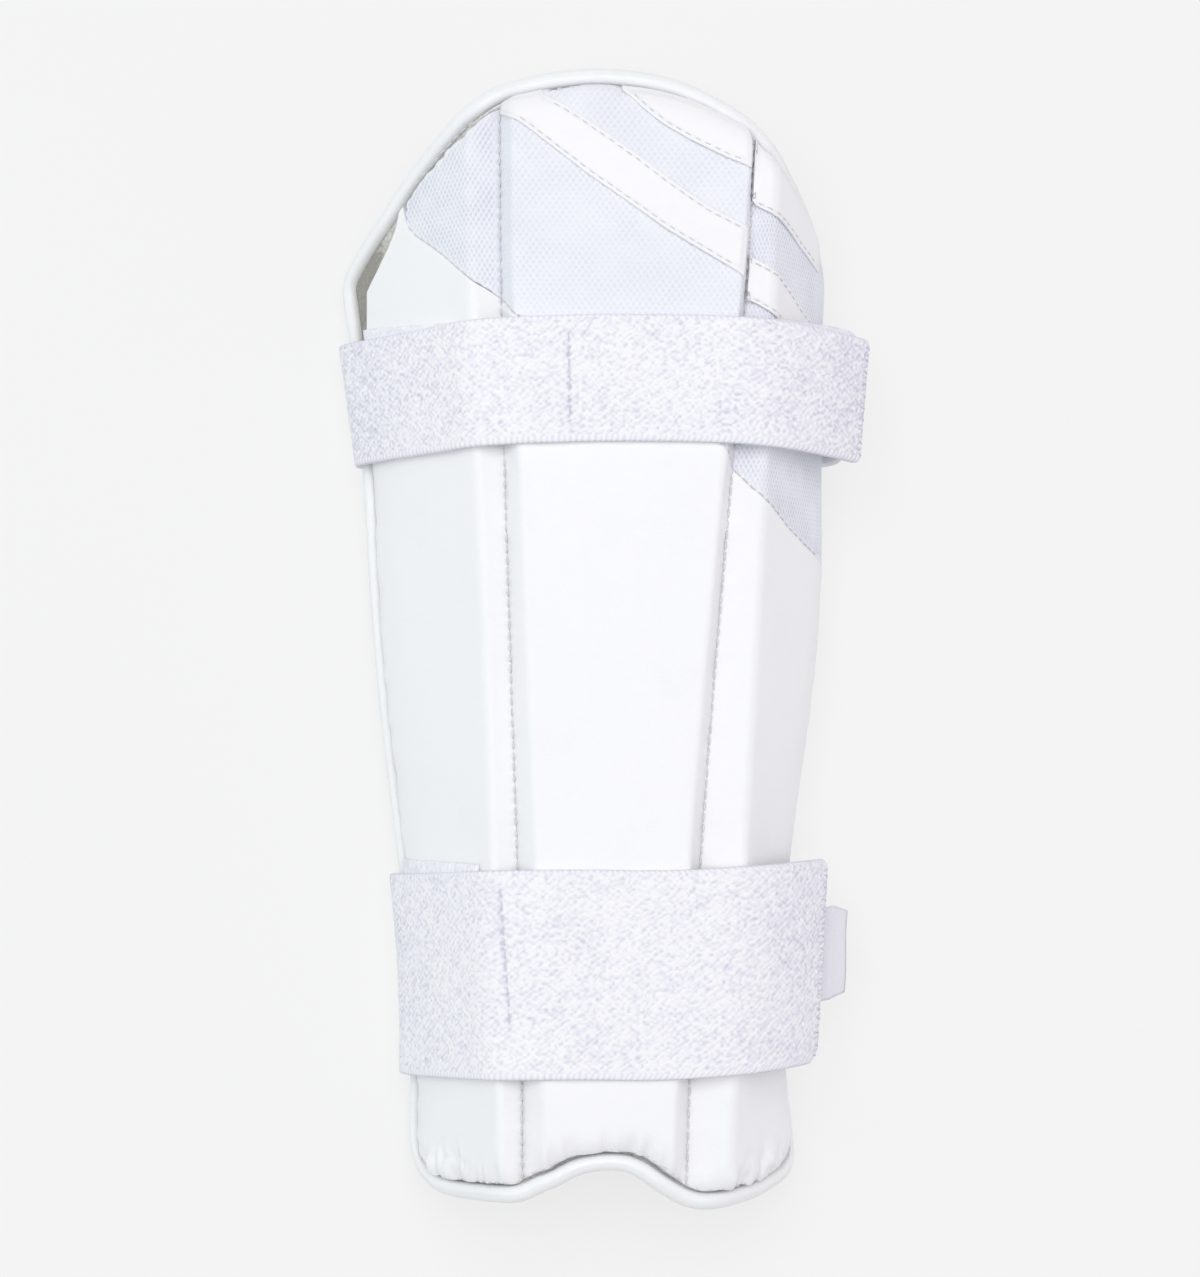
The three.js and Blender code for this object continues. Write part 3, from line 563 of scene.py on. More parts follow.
def thread_light_build(nt, bsdf):
    n = N(nt)
    vec = n.attr("cloth", "Vector")
    ply = n.noise(vec, 4.0, 2.0, 0.6)
    col = n.ramp(ply, [(0.3, (0.62, 0.61, 0.68)), (0.7, (0.82, 0.81, 0.88))])
    nt.links.new(col, bsdf.inputs["Base Color"])
    bsdf.inputs["Roughness"].default_value = 0.7
    bsdf.inputs["Sheen Weight"].default_value = 0.2
    nt.links.new(n.bump(ply, 0.6, 0.08e-3), bsdf.inputs["Normal"])
THREAD_LIGHT = material("thread_light", thread_light_build)


def label_build(nt, bsdf):
    n = N(nt)
    vec = n.attr("cloth", "Vector")
    weave = n.noise(n.vmul(vec, (0.6, 5.0, 1.0)), 2.0, 2.0, 0.5)
    col = n.ramp(weave, [(0.25, (0.74, 0.74, 0.80)), (0.65, (0.85, 0.845, 0.90))])
    nt.links.new(col, bsdf.inputs["Base Color"])
    bsdf.inputs["Roughness"].default_value = 0.42
    bsdf.inputs["Sheen Weight"].default_value = 0.3
    nt.links.new(n.bump(weave, 0.5, 0.05e-3), bsdf.inputs["Normal"])
LABEL = material("label_tape", label_build)


def floor_build(nt, bsdf):
    n = N(nt)
    geo = n.new("ShaderNodeTexCoord")
    mott = n.noise(geo.outputs["Object"], 3.0, 3.0, 0.5)
    col = n.ramp(mott, [(0.3, (0.239, 0.239, 0.239)), (0.7, (0.241, 0.241, 0.241))])
    nt.links.new(col, bsdf.inputs["Base Color"])
    nt.links.new(col, bsdf.inputs["Emission Color"])
    bsdf.inputs["Emission Strength"].default_value = 2.80
    bsdf.inputs["Roughness"].default_value = 0.95
    bsdf.inputs["Specular IOR Level"].default_value = 0.05
FLOOR = material("floor", floor_build)

# ------------------------------------------------------------------ padded panels
PIECES = {}
def cloth_coords(u, y):
    return as3(across_mm(u), y, np.zeros_like(across_mm(u) + y))


def panel(name, u0, u1, low, high, mat, h, kind, k=4, edge_of=None, end_of=None):
    """One padded panel between two places across and two lines along."""
    s0, s1 = across_mm(u0), across_mm(u1)
    ts = spaced(s1 - s0, h, k, (0.1, 0.3, 0.6, 1.0, 1.6))
    while (len(ts) - 1) % k:
        ts = np.interp(np.linspace(0, 1, len(ts) + 1), np.linspace(0, 1, len(ts)), ts)
    us = across_of(s0 + (s1 - s0) * ts)
    lo, hi = low(us), high(us)
    tv = spaced(float(np.max(hi - lo)), h, k, (0.1, 0.3, 0.6, 1.0, 1.6, 2.4))
    while (len(tv) - 1) % k:
        tv = np.interp(np.linspace(0, 1, len(tv) + 1), np.linspace(0, 1, len(tv)), tv)
    Y = lo[None, :] + (hi - lo)[None, :] * tv[:, None]
    U = np.broadcast_to(us[None, :], Y.shape).copy()
    if edge_of is not None:
        first, last = us[0], 0.5
        start = np.maximum(first, edge_of(Y))
        U = np.where(U < last, start + (last - start) * (U - first) / (last - first), U)
    if end_of is not None:
        first, last = 6.4, us[-1]
        U = np.where(U > first, first + (end_of(Y) - first) * (U - first) / (last - first), U)
    x, z = padded(U, Y)
    P = as3(x, Y, z)
    n = surf_normal(U, Y)
    s = across_mm(U)
    # distances to the sewn edges of this panel
    d_side = np.minimum(s - across_mm(us[0]), across_mm(us[-1]) - s)
    d_low, d_high = Y - lo[None, :], hi[None, :] - Y
    d_valley = np.minimum(np.abs(s - CUM[2]), np.abs(s - CUM[5]))
    # soft unevenness of foam and cover
    bumpy = 0.22 * noise(s / 34.0, Y / 46.0, 11) + 0.10 * noise(s / 13.0 + 7, Y / 17.0, 12)
    calm = np.clip(np.minimum(np.minimum(d_low, d_high), np.minimum(d_valley, 50)) / 6.0, 0, 1)
    d = bumpy * calm
    # puckers that run in from the stitched valleys
    pitch = 2.8
    pull = 0.5 + 0.5 * np.cos(2 * np.pi * Y / pitch)
    d -= 0.30 * pull * np.exp(-d_valley / 1.5)
    wander = noise(Y / 6.0, s * 0 + 3, 21) + 0.6 * noise(Y / 2.9, s * 0 + 9, 22)
    d += 0.24 * wander * np.exp(-d_valley / 3.0)
    # gathers along the edge binding
    d_bind = np.minimum(top_of(U) - Y, Y - bottom_of(U))
    along = s
    gather = noise(along / 3.4, Y * 0 + 5, 31) + 0.7 * noise(along / 1.7, Y * 0 + 2, 32)
    corner = np.exp(-((Y + 134.0) / 9.0) ** 2) * (np.exp(-((s - 22.0) / 14.0) ** 2) + np.exp(-((s - 150.0) / 14.0) ** 2))
    d += (0.42 + 0.95 * corner) * gather * np.exp(-((d_bind - 2.6) / 3.0) ** 2)
    crease = noise(s / 2.6 + Y / 7.0, s / 9.0 - Y / 2.9, 34)
    d += 0.95 * corner * crease * np.exp(-((d_bind - 5.0) / 5.0) ** 2)
    side_bind = np.minimum(s, CUM[7] - s)
    d += 0.30 * noise(Y / 3.8, s * 0 + 1, 33) * np.exp(-((side_bind - 3.0) / 3.0) ** 2)
    high_right = np.clip((Y - 70.0) / 20.0, 0, 1) * (U > 4.4)
    # drawn in beside the binding at the lower right
    d -= 1.35 * np.exp(-((CUM[7] - s) / 6.0) ** 2) * np.clip((-98.0 - Y) / 14.0, 0, 1)
    low_left = np.clip((-98.0 - Y) / 10.0, 0, 1) * (U < 3)
    # painted shade mask: valley creases (more low on the left, less high on the right) and the gap along the binding
    fold = (0.35 + 0.6 * low_left) * (1 - 0.8 * high_right) * np.exp(-d_valley / 0.8) + 0.6 * np.exp(-np.minimum(d_bind, side_bind) / 0.9)
    attributes = {}
    if kind == "mesh":
        px, py = 1.42, 2.36
        # one dimple at each point of a staggered grid, rows 1.2 mm apart
        a = 0.5 + 0.25 * (np.cos(2 * np.pi * (s / px + Y / py)) + np.cos(2 * np.pi * (s / px - Y / py)))
        uneven = 0.75 + 0.35 * noise(s / 5.0, Y / 5.0, 41)
        quiet = np.clip(np.minimum(np.minimum(d_low, d_high), d_valley) / 1.6, 0, 1)
        dim = np.clip((a - 0.35) / 0.65, 0, 1) ** 1.3 * uneven * quiet
        d += 0.05 * quiet - (0.24 if 3 > us[0] > 1.5 else 0.36) * dim
        # painted shade in the dimple hollows, stronger on the side panels that face away from the light
        attributes["dimple"] = dim * (0.50 if 3 > us[0] > 1.5 else 1.25)
    else:
        # the folded edge of the smooth cover stands a little proud of the mesh at the seam
        d += 0.28 * crown(d_high, 1.2, 0.0) * np.exp(-np.maximum(0, d_high - 1.2) / 4.0) * (seam_of(U) - Y < 60)
    P = P + n * d[..., None]
    bx, bz = base(U, Y)
    inner = coarse_of(as3(bx, Y, bz), k) + coarse_of(n, k) * 0.25
    V, faces = solid(P, inner, k)
    m = inner.shape[0] * inner.shape[1]
    co = cloth_coords(U, Y).reshape(-1, 3)
    co = np.concatenate([co, coarse_of(cloth_coords(U, Y), k).reshape(-1, 3)])
    att = {"cloth": co, "fold": np.concatenate([np.clip(fold, 0, 1).ravel(), np.ones(m)])}
    for key, value in attributes.items():
        att[key] = np.concatenate([value.ravel(), np.zeros(m)])
    obj = make(name + "_soft", V, faces, mat, attributes=att)
    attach(obj, "root")
    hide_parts(name)
    PIECES[name] = obj
    return obj


EDGE, HALF = 0.80, 0.09
in_top = lambda u: top_of(u) - EDGE - 2.3 * np.interp(u, [0.0, 0.5, 1.1, 2.2, 3.0], [1.0, 1.0, 0.75, 0.2, 0.0])
in_bottom = lambda u: bottom_of(u) + EDGE
above = lambda u: seam_of(u) + HALF
below = lambda u: seam_of(u) - HALF
left_top = lambda u: np.where(u < 0.53, in_top(u), np.minimum(in_top(u), below(u)))
edge_of = lambda y: np.interp(y, LEFT_EDGE[:, 0], LEFT_EDGE[:, 1])
end_of = lambda y: np.interp(y, [-160, -116, -96, 160], [6.90, 6.91, 6.985, 6.985])
FINE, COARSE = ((0.34, 0.8))
panel("panel_left_lower", 0.012, 1.993, in_bottom, left_top, PU, COARSE, "smooth", edge_of=edge_of)
panel("panel_left_upper", 0.55, 1.993, above, in_top, MESH, FINE, "mesh")
panel("panel_centre_lower", 2.007, 4.993, in_bottom, below, PU, COARSE, "smooth")
panel("panel_centre_upper", 2.007, 4.993, above, in_top, MESH, FINE, "mesh")
panel("panel_right_lower", 5.007, 6.988, in_bottom, below, PU, COARSE, "smooth", end_of=end_of)
panel("panel_right_upper", 5.007, 6.988, above, in_top, MESH, FINE, "mesh")

# ------------------------------------------------------------------ base sheet
def base_sheet():
    k = 1
    s = spaced(CUM[7], 1.6, 1, (0.3, 1.0))
    us = across_of(CUM[7] * s)
    us = us[np.concatenate([[True], np.diff(us) > 1e-6])]
    lo, hi = bottom_of(us) + 0.05, top_of(us) - 0.05
    tv = spaced(285.0, 1.9, 1, (0.3, 1.0))
    Y = lo[None] + (hi - lo)[None] * tv[:, None]
    U = np.broadcast_to(us[None], Y.shape)
    x, z = base(U, Y)
    x2, z2 = base(np.minimum(U + 0.02, 7), Y); x1, z1 = base(np.maximum(U - 0.02, 0), Y)
    L = np.hypot(x2 - x1, z2 - z1)
    nx, nz = -(z2 - z1) / L, (x2 - x1) / L
    outer = as3(x, Y, z)
    s = across_mm(U)
    d_rim = np.minimum(np.minimum(Y - lo[None], hi[None] - Y), np.minimum(s, CUM[7] - s))
    t = BASE_THICKNESS * crown(d_rim, 2.0, 0.55) + 0.12 * noise(s / 9, Y / 9, 51) * np.clip(d_rim / 5, 0, 1)
    inner = as3(x - nx * t, Y, z - nz * t)
    # painted shadow on the backing where it shows in the gap between the piping and the left panel, near the top
    shade = np.exp(-((Y - 98.0) / 17.0) ** 4) * np.exp(-(s / 13.0) ** 4)
    V, faces = solid(outer, inner, 1)
    co = np.concatenate([as3(s, Y, 0 * s).reshape(-1, 3)] * 2)
    obj = make("backing_soft", V, faces, TOWEL, attributes={"cloth": co, "fold": np.concatenate([shade.ravel(), shade.ravel() * 0])})
    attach(obj, "root"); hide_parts("backing")
base_sheet()

# ------------------------------------------------------------------ flat bands
def strip(name, nodes, us, low, high, mat, lift, thick, lip=0.0):
    k = 1
    lo, hi = low(us), high(us)
    tv = spaced(float(np.max(hi - lo)), 0.8, 1, (0.12, 0.3, 0.6))
    Y = lo[None] + (hi - lo)[None] * tv[:, None]
    U = np.broadcast_to(us[None], Y.shape)
    P, n = surf(U, Y), surf_normal(U, Y)
    s = across_mm(U)
    slope = np.sqrt(1 + low.slope(us) ** 2) if hasattr(low, "slope") else 1.0
    d = np.minimum(Y - lo[None], hi[None] - Y) / slope
    d = np.minimum(d, np.minimum(s - s[:, :1], s[:, -1:] - s) + 0.3)
    t = lift + thick * crown(d, 0.45, 0.45)
    t += 0.05 * noise(s / 6, Y / 6, 61)
    t -= 0.10 * np.exp(-((d - 0.95) / 0.35) ** 2)            # pulled down along the stitch rows
    # the turned end and the lower edge stand off the cover, most at the corner
    from_end = s - s[:, :1]
    raised = lip * (np.exp(-(from_end / 2.2) ** 2) + 0.55 * np.exp(-((Y - lo[None]) / slope / 1.1) ** 2) * np.exp(-(from_end / 16.0) ** 2))
    raised *= 1 + 0.25 * noise(Y / 4.0, s / 6.0, 62)
    t += raised
    outer = P + n * t[..., None]
    inner = P + n * (lift * 0.3 + 0.72 * raised)[..., None]
    V, faces = solid(outer, inner, 1)
    co = np.concatenate([as3(s, Y, 0 * s).reshape(-1, 3)] * 2)
    # painted shade in the dip along the stitch rows
    fold = 0.5 * np.exp(-((d - 0.95) / 0.4) ** 2)
    obj = make(name, V, faces, mat, attributes={"cloth": co, "fold": np.concatenate([fold.ravel(), fold.ravel() * 0])})
    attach(obj, "root"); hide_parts(*nodes)
    return obj


def fine_us(u0, u1, h=0.6):
    s = np.arange(across_mm(u0), across_mm(u1), h)
    return across_of(np.concatenate([s, [across_mm(u1)]]))


class Cap:
    """The lower of a line and the panel's own top."""
    def __init__(self, line=None, inset=1.0, start=None):
        self.line, self.inset, self.start = line, inset, start
    def __call__(self, u):
        t = top_of(u) - self.inset
        if self.line is None:
            return t
        v = self.line(u)
        return np.where(u < (self.start or 0), t, np.minimum(t, v))


strip("band_main_centre_soft", ["band_main_centre"], fine_us(2.18, 4.02), main_low, Cap(main_high, 0.9, 3.12), BAND, 0.30, 0.45)
strip("band_upper_centre_soft", ["band_upper_centre"], fine_us(3.455, 4.02), upper_low, Cap(None, 0.9), BAND, 0.30, 0.45)
strip("band_main_side_soft", ["band_main_side"], fine_us(5.0, 6.62), main_low, main_high, BAND, 0.30, 0.45, lip=0.85)
strip("band_upper_side_soft", ["band_upper_side"], fine_us(5.0, 6.62), upper_low, Cap(None, 0.9), BAND, 0.30, 0.45, lip=0.85)

# ------------------------------------------------------------------ corded edge
def rim_path():
    pts, nrm = [], []
    def put(u, y):
        u = np.asarray(u, float); y = np.asarray(y, float)
        u, y = np.broadcast_arrays(u, y)
        x, z = base(u, y)
        x2, z2 = base(np.minimum(u + 0.15, 7), y); x1, z1 = base(np.maximum(u - 0.15, 0), y)
        L = np.hypot(x2 - x1, z2 - z1)
        nx, nz = -(z2 - z1) / L, (x2 - x1) / L
        off = FOLD_PAD[0] * 0.6 - PIPING_DEPTH
        pts.append(as3(x + nx * off, y, z + nz * off)); nrm.append(as3(nx, 0 * nx, nz))
    s = np.arange(0.0, CUM[7], 0.5)
    us = across_of(s)
    put(0.0, np.arange(-86.0, 98.0, 1.0))
    put(us, top_of(us))
    put(7.0, np.arange(96.0, -130.0, -1.0))
    put(us[::-1], bottom_of(us[::-1]))
    put(0.0, np.arange(-129.0, -86.5, 1.0))
    P, Nn = np.concatenate(pts), np.concatenate(nrm)
    both, length = resample(np.concatenate([P, Nn], 1), 1.0, closed=True)
    P, Nn = both[:, :3], both[:, 3:]
    # smooth the line and the normals round the loop
    def ring_blur(v, sigma):
        n = int(3 * sigma); kk = np.exp(-0.5 * (np.arange(-n, n + 1) / sigma) ** 2); kk /= kk.sum()
        w = np.concatenate([v[-n:], v, v[:n]])
        return np.stack([np.convolve(w[:, i], kk, mode="valid") for i in range(v.shape[1])], -1)
    P = ring_blur(P, 1.6); Nn = ring_blur(Nn, 3.0)
    Nn /= np.linalg.norm(Nn, axis=1, keepdims=True)
    t = np.roll(P, -1, 0) - np.roll(P, 1, 0); t /= np.linalg.norm(t, axis=1, keepdims=True)
    out = np.cross(Nn, t); out /= np.linalg.norm(out, axis=1, keepdims=True)
    return P, Nn, out, t


RIM, RIM_N, RIM_OUT, RIM_T = rim_path()
_c = RIM.mean(0)
if np.mean(((RIM - _c) * RIM_OUT)[:, :2].sum(1)) < 0:
    RIM_OUT = -RIM_OUT


def piping():
    n = len(RIM)
    upper_left = np.clip((RIM[:, 1] - 70.0) / 20.0, 0, 1) * np.clip((-RIM[:, 0] - 8.0) / 20.0, 0, 1)
    lower_right = np.clip((-98.0 - RIM[:, 1]) / 14.0, 0, 1) * np.clip((RIM[:, 0] - 36.0) / 8.0, 0, 1)
    lower_right = np.convolve(np.concatenate([lower_right[-8:], lower_right, lower_right[:8]]), np.ones(17) / 17, mode="valid")
    centre = RIM + RIM_OUT * (PIPING_SETBACK - 0.60 + 0.55 * upper_left[:, None]) + RIM_N * (0.95 * lower_right[:, None])
    sides = 20
    s = np.arange(n) * 1.0
    a = np.arange(sides) * 2 * np.pi / sides
    # radius: round cord, slightly gathered where the edge turns
    turn = np.linalg.norm(np.roll(RIM_T, -2, 0) - np.roll(RIM_T, 2, 0), axis=1)
    turn = np.convolve(np.concatenate([turn[-6:], turn, turn[:6]]), np.ones(13) / 13, mode="valid")
    S, A = np.meshgrid(s, a, indexing="ij")
    r = PIPING_R * (1 + 0.018 * noise(S / 14.0, A * 0.9, 71) + 0.010 * noise(S / 4.0, A * 1.4, 72))
    r -= (np.clip(turn, 0, 0.6)[:, None] * 0.55) * (0.5 + 0.5 * np.cos(2 * np.pi * S / 2.6 + 2.0 * noise(S / 6.0, A, 73))) * np.clip(np.cos(A - np.pi) * 0.5 + 0.6, 0, 1)
    rings, _ = tube(centre, RIM_N, r, sides, 0.0, closed=True)
    V = rings.reshape(-1, 3)
    co = as3(S, A * PIPING_R, 0 * S).reshape(-1, 3)
    faces = tube_faces(n, sides, True)
    # which way is out
    v0 = rings[0, 0] - centre[0]
    q = faces[0]; nn = np.cross(V[q[1]] - V[q[0]], V[q[2]] - V[q[0]])
    if np.dot(nn, v0) < 0:
        faces = faces[:, ::-1]
    side = ((rings - centre[:, None]) * RIM_OUT[:, None]).sum(-1) / PIPING_R
    # painted shade on the side of the cord that turns in toward the panel
    fold = np.clip(-side - 0.55, 0, 1) * 1.7
    obj = make("piping_soft", V, [faces], BINDING, attributes={"cloth": co, "fold": np.clip(fold, 0, 1).ravel()})
    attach(obj, "root"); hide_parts("piping")
piping()

# ------------------------------------------------------------------ straps
def rounded_line(corners, count):
    pts = [np.array(corners[0][:2])]
    for i in range(1, len(corners) - 1):
        p = np.array(corners[i][:2]); a = np.array(corners[i - 1][:2]) - p; b = np.array(corners[i + 1][:2]) - p
        la, lb = np.hypot(*a), np.hypot(*b)
        r = min(corners[i][2], la * 0.48, lb * 0.48)
        f, t = p + a / la * r, p + b / lb * r
        q = np.linspace(0, 1, 13)[:, None]
        pts.append((1 - q) ** 2 * f + 2 * q * (1 - q) * p + q * q * t)
    pts.append(np.array(corners[-1][:2]))
    line = np.concatenate([np.atleast_2d(p) for p in pts])
    s = np.concatenate([[0], np.cumsum(np.hypot(*np.diff(line, axis=0).T))])
    t = np.linspace(0, s[-1], count + 1)
    return np.stack([np.interp(t, s, line[:, 0]), np.interp(t, s, line[:, 1])], -1), s[-1]


def crude(points, bulge, u, y):
    """Point on the plain folds, as the construction has them."""
    X, Z = fold_points(np.array([y], float))
    X, Z = X[:, 0], Z[:, 0]
    k = min(6, int(u)); f = u - k
    a, b = np.array([X[k], Z[k]]), np.array([X[k + 1], Z[k + 1]])
    d = b - a; n = np.array([-d[1], d[0]]) / np.hypot(*d)
    g = {0: 1 - f, 6: f}.get(k, 0.0)
    return a + d * f + n * {0: bulge[0], 6: bulge[1]}.get(k, 0.0) * 1.62 * g * (1 - g ** 6)


def strap_corners(s, y):
    t = STRAP_T
    at = [y + b for b in s["bow"]]
    def on(i, a, d):
        p = crude(None, SIDE_BULGE, a, at[i])
        q0, q1 = crude(None, SIDE_BULGE, max(0, a - 0.15), at[i]), crude(None, SIDE_BULGE, min(7, a + 0.15), at[i])
        dd = q1 - q0; n = np.array([-dd[1], dd[0]]) / np.hypot(*dd)
        return list(p + n * d)
    first = s["under"]; over = first + t + 0.4; left = 0.3 + TAB_T + 0.4
    edge = lambda i: float(fold_x(0, np.array([at[i]]))[0])
    rx = lambda i: float(fold_x(6, np.array([at[i]]))[0])
    rz = FOLD_Z[6]
    off = y - (s["low"] + s["high"]) / 2
    drift = off * s["drift"]; fold = s["fold"] + off * s["foldDrift"]
    lo, ex = s["loopOut"] + drift, s["endX"] + drift
    return [
        [*on(0, 5.25, first + 0.2), 0],
        [rx(1) + 0.6, rz + first + 0.7, 4],
        [rx(2) + (lo - rx(2)) * 0.62, rz - 10.5, 8],
        [lo, s["loopZ"] + 9, 9],
        [lo - 0.8, 8.0, 6],
        [lo - 6.5, t, 6],
        [edge(6) + 3.0, t, 6],
        [edge(7) - fold - 0.2, 5.6, 4],
        [edge(8) - fold, 11.5, 3.5],
        [*on(9, 0.25, left), 10],
        [*on(10, 0.5, left), 12],
        [*on(11, 0.75, left), 12],
        [*on(12, 1, left + 0.2), 4],
        [*on(13, 3, 0.55), 6],
        [*on(14, 3.9, 0.55), 8],
        [rx(15) + 0.8, rz + over + 1.2, 9],
        [rx(16) + (ex - rx(16)) * 0.6, rz - 6.2, 9],
        [ex, s["endZ"], 0]]


def bow_along(s, corners, t):
    """How far the strap is moved along the arm at shares t of its route."""
    c = np.array([q[:2] for q in corners])
    far = np.concatenate([[0], np.cumsum(np.hypot(*np.diff(c, axis=0).T))])
    return np.interp(t * far[-1], far, s["bow"])


ROUTES = {}
# stitch line across each strap: x at the upper and at the lower end, and their y
STITCH_LINES = {"strap_upper": (-8.1, 78.4, -7.6, 53.9), "strap_lower": (-25.3, -63.2, -22.6, -99.6)}
ROUND_END = {"strap_upper": (2.6, 2.2), "strap_lower": (5.5, 3.4)}      # radius at the low and at the high corner


def pebbles(S, Y):
    """Knops of the loop face, from about -1 to 1: a staggered weave broken up by noise."""
    wx = S + 1.1 * noise(S / 3.3, Y / 3.3, 91) + 0.5 * noise(S / 1.3, Y / 1.3, 95)
    wy = Y + 0.5 * noise(S / 3.3, Y / 3.3, 92) + 0.25 * noise(S / 1.3, Y / 1.3, 96)
    weave = 0.5 * (np.cos(2 * np.pi * (wx / 2.3 + wy / 1.75)) + np.cos(2 * np.pi * (wx / 2.3 - wy / 1.75)))
    return 0.62 * weave + 0.80 * noise(S / 0.80, Y / 0.66, 93) + 0.15 * noise(S / 9.0, Y / 9.0, 94)


def strap(name, h):
    s = STRAPS[name]
    k = 4
    middle = (s["low"] + s["high"]) / 2
    line, length = rounded_line(strap_corners(s, middle), 1400)
    front_at = length * np.argmin(line[:, 0]) / 1400.0 - 5.0
    ends = [0.12, 0.35, 0.7]
    fine = np.arange(front_at, length - ends[-1], h)
    coarse = int((front_at - ends[-1]) / 1.6)
    while (coarse + len(fine) + 2 * len(ends)) % k:
        coarse += 1
    tc = np.concatenate([[0.0], ends[:-1], np.linspace(ends[-1], front_at, coarse + 1)[:-1], fine,
                         [length - e for e in ends[::-1]], [length]]) / length
    tc[-1] = 1.0
    width = s["high"] - s["low"]
    tr = spaced(width, h, k, (0.12, 0.35, 0.7))
    while (len(tr) - 1) % k:
        tr = np.interp(np.linspace(0, 1, len(tr) + 1), np.linspace(0, 1, len(tr)), tr)
    while (len(tc) - 1) % k:
        tc = np.concatenate([tc[:8], [(tc[7] + tc[8]) / 2], tc[8:]])
    rows, nrm = [], []
    T = np.linspace(0, 1, 1401)
    r_low, r_high = ROUND_END[name]
    for t in tr:
        y = s["low"] + width * t
        corners = strap_corners(s, y)
        line, _ = rounded_line(corners, 1400)
        bow = blur(bow_along(s, corners, T), 30)
        # soften the bends, keep the flat back flat
        lx, lz = blur(line[:, 0], 9), blur(line[:, 1], 9)
        flat = line[:, 1] <= STRAP_T + 1e-6
        lz = np.where(flat, np.minimum(lz, STRAP_T), lz)
        lz = np.maximum(lz, STRAP_T)
        # rounded corners at the free end
        d0, d1 = width * t, width * (1 - t)
        cut = 0.0
        if d0 < r_low:
            cut = r_low - math.sqrt(max(0.0, r_low ** 2 - (r_low - d0) ** 2))
        if d1 < r_high:
            cut = max(cut, r_high - math.sqrt(max(0.0, r_high ** 2 - (r_high - d1) ** 2)))
        place = np.where(tc > 0.75, 0.75 + (tc - 0.75) * (0.25 - cut / length) / 0.25, tc)
        line = np.stack([np.interp(place, T, lx), np.interp(place, T, lz)], -1)
        d = np.gradient(line, axis=0)
        L = np.hypot(d[:, 0], d[:, 1])
        n = np.stack([-d[:, 1] / L, d[:, 0] / L], -1)
        rows.append(as3(line[:, 0], y + np.interp(place, T, bow), line[:, 1])); nrm.append(as3(n[:, 0], 0 * n[:, 0], n[:, 1]))
    inner_full = np.stack(rows); n = np.stack(nrm)
    S = np.broadcast_to((tc * length)[None], inner_full.shape[:2])
    Yw = np.broadcast_to((width * tr)[:, None], S.shape)
    on_floor = inner_full[..., 2] <= STRAP_T + 0.02
    seen = S > front_at + 2.0
    d_edge = np.minimum(Yw, width - Yw)
    d_end = np.minimum(S, S[:, -1:] - S)
    d = np.minimum(d_edge, d_end)
    selv = np.clip(1 - (Yw - 1.5) / 0.5, 0, 1) + np.clip(1 - (width - Yw - 0.6) / 0.5, 0, 1)
    peb = np.where(seen, pebbles(S, Yw), 0.25 * pebbles(S, Yw)) * (1 - np.clip(selv, 0, 1))
    # ribs of the plain selvage
    rib = np.cos(2 * np.pi * (S + 0.25 * noise(S / 2.0, Yw * 0, 97)) / 1.55) * np.clip(selv, 0, 1)
    t = STRAP_T * (0.5 + 0.5 * crown(d, 0.9, 0.10))
    broad = 0.06 * noise(S / 5.0, Yw / 4.0, 82) + 0.10 * noise(S / 23.0, Yw / 15.0, 85)
    ripple = 0.14 * noise(S / 6.0, Yw * 0 + 1, 83) * np.exp(-d_edge / 2.0)
    xa, ya, xb, yb = STITCH_LINES[name]
    X3, Y3 = inner_full[..., 0], inner_full[..., 1]
    lx3 = xa + (Y3 - ya) * (xb - xa) / (yb - ya)
    along_line = np.clip((ya + 1.2 - Y3) / 1.5, 0, 1) * np.clip((Y3 - yb + 1.2) / 1.5, 0, 1) * seen
    groove = np.exp(-((X3 - lx3) / 0.55) ** 2) * along_line
    t = t + np.where(on_floor, 0.0, (0.165 * peb + 0.09 * rib + broad + ripple) * np.clip(d / 0.8, 0, 1) - 0.32 * groove)
    t = np.where(on_floor, np.minimum(t, STRAP_T), t)
    scallop = 0.10 * (0.5 + 0.5 * np.cos(2 * np.pi * S / 1.55)) * np.exp(-d_edge / 0.35)
    sign = np.where(Yw < width / 2, 1.0, -1.0)
    outer = inner_full + n * t[..., None]
    outer[..., 1] += scallop * sign
    bow = 0.25 * noise(S / 24.0, Yw * 0 + 4, 84) * np.exp(-d_edge / 9.0)
    outer[..., 1] += bow
    outer[..., 2] = np.maximum(outer[..., 2], 0.0)
    inner = coarse_of(inner_full + n * (STRAP_T * 0.5 * (1 - crown(d, 0.9, 0.10)))[..., None], k)
    inner[..., 1] += coarse_of(bow, k)
    ROUTES[name] = (outer, n, seen)
    V, faces = solid(outer, inner, k)
    m = inner.shape[0] * inner.shape[1]
    co = as3(S, Yw, 0 * S)
    # painted shade: darker towards both sides, where the strap turns down away from the light, and along its edges,
    # ends and stitch groove
    ends = np.clip((-X3 - 34.0) / 34.0, 0, 1) + 0.75 * np.clip((X3 - 26.0) / 36.0, 0, 1)
    fold = np.clip(0.5 * np.exp(-d / 0.5) + 0.7 * groove + 0.52 * ends * seen, 0, 1)
    obj = make(name + "_soft", V, faces, ELASTIC, attributes={
        "cloth": np.concatenate([co.reshape(-1, 3), coarse_of(co, k).reshape(-1, 3)]),
        "pebble": np.concatenate([(peb * 0.5 + 0.5 + 0.3 * rib).ravel(), np.full(m, 0.5)]),
        "fold": np.concatenate([fold.ravel(), np.zeros(m)])})
    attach(obj, "root"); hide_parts(name)
    return obj, length


H = 0.36
S_UP, LEN_UP = strap("strap_upper", H)
S_LO, LEN_LO = strap("strap_lower", H * 1.15)
print("strap lengths mm", LEN_UP, LEN_LO)


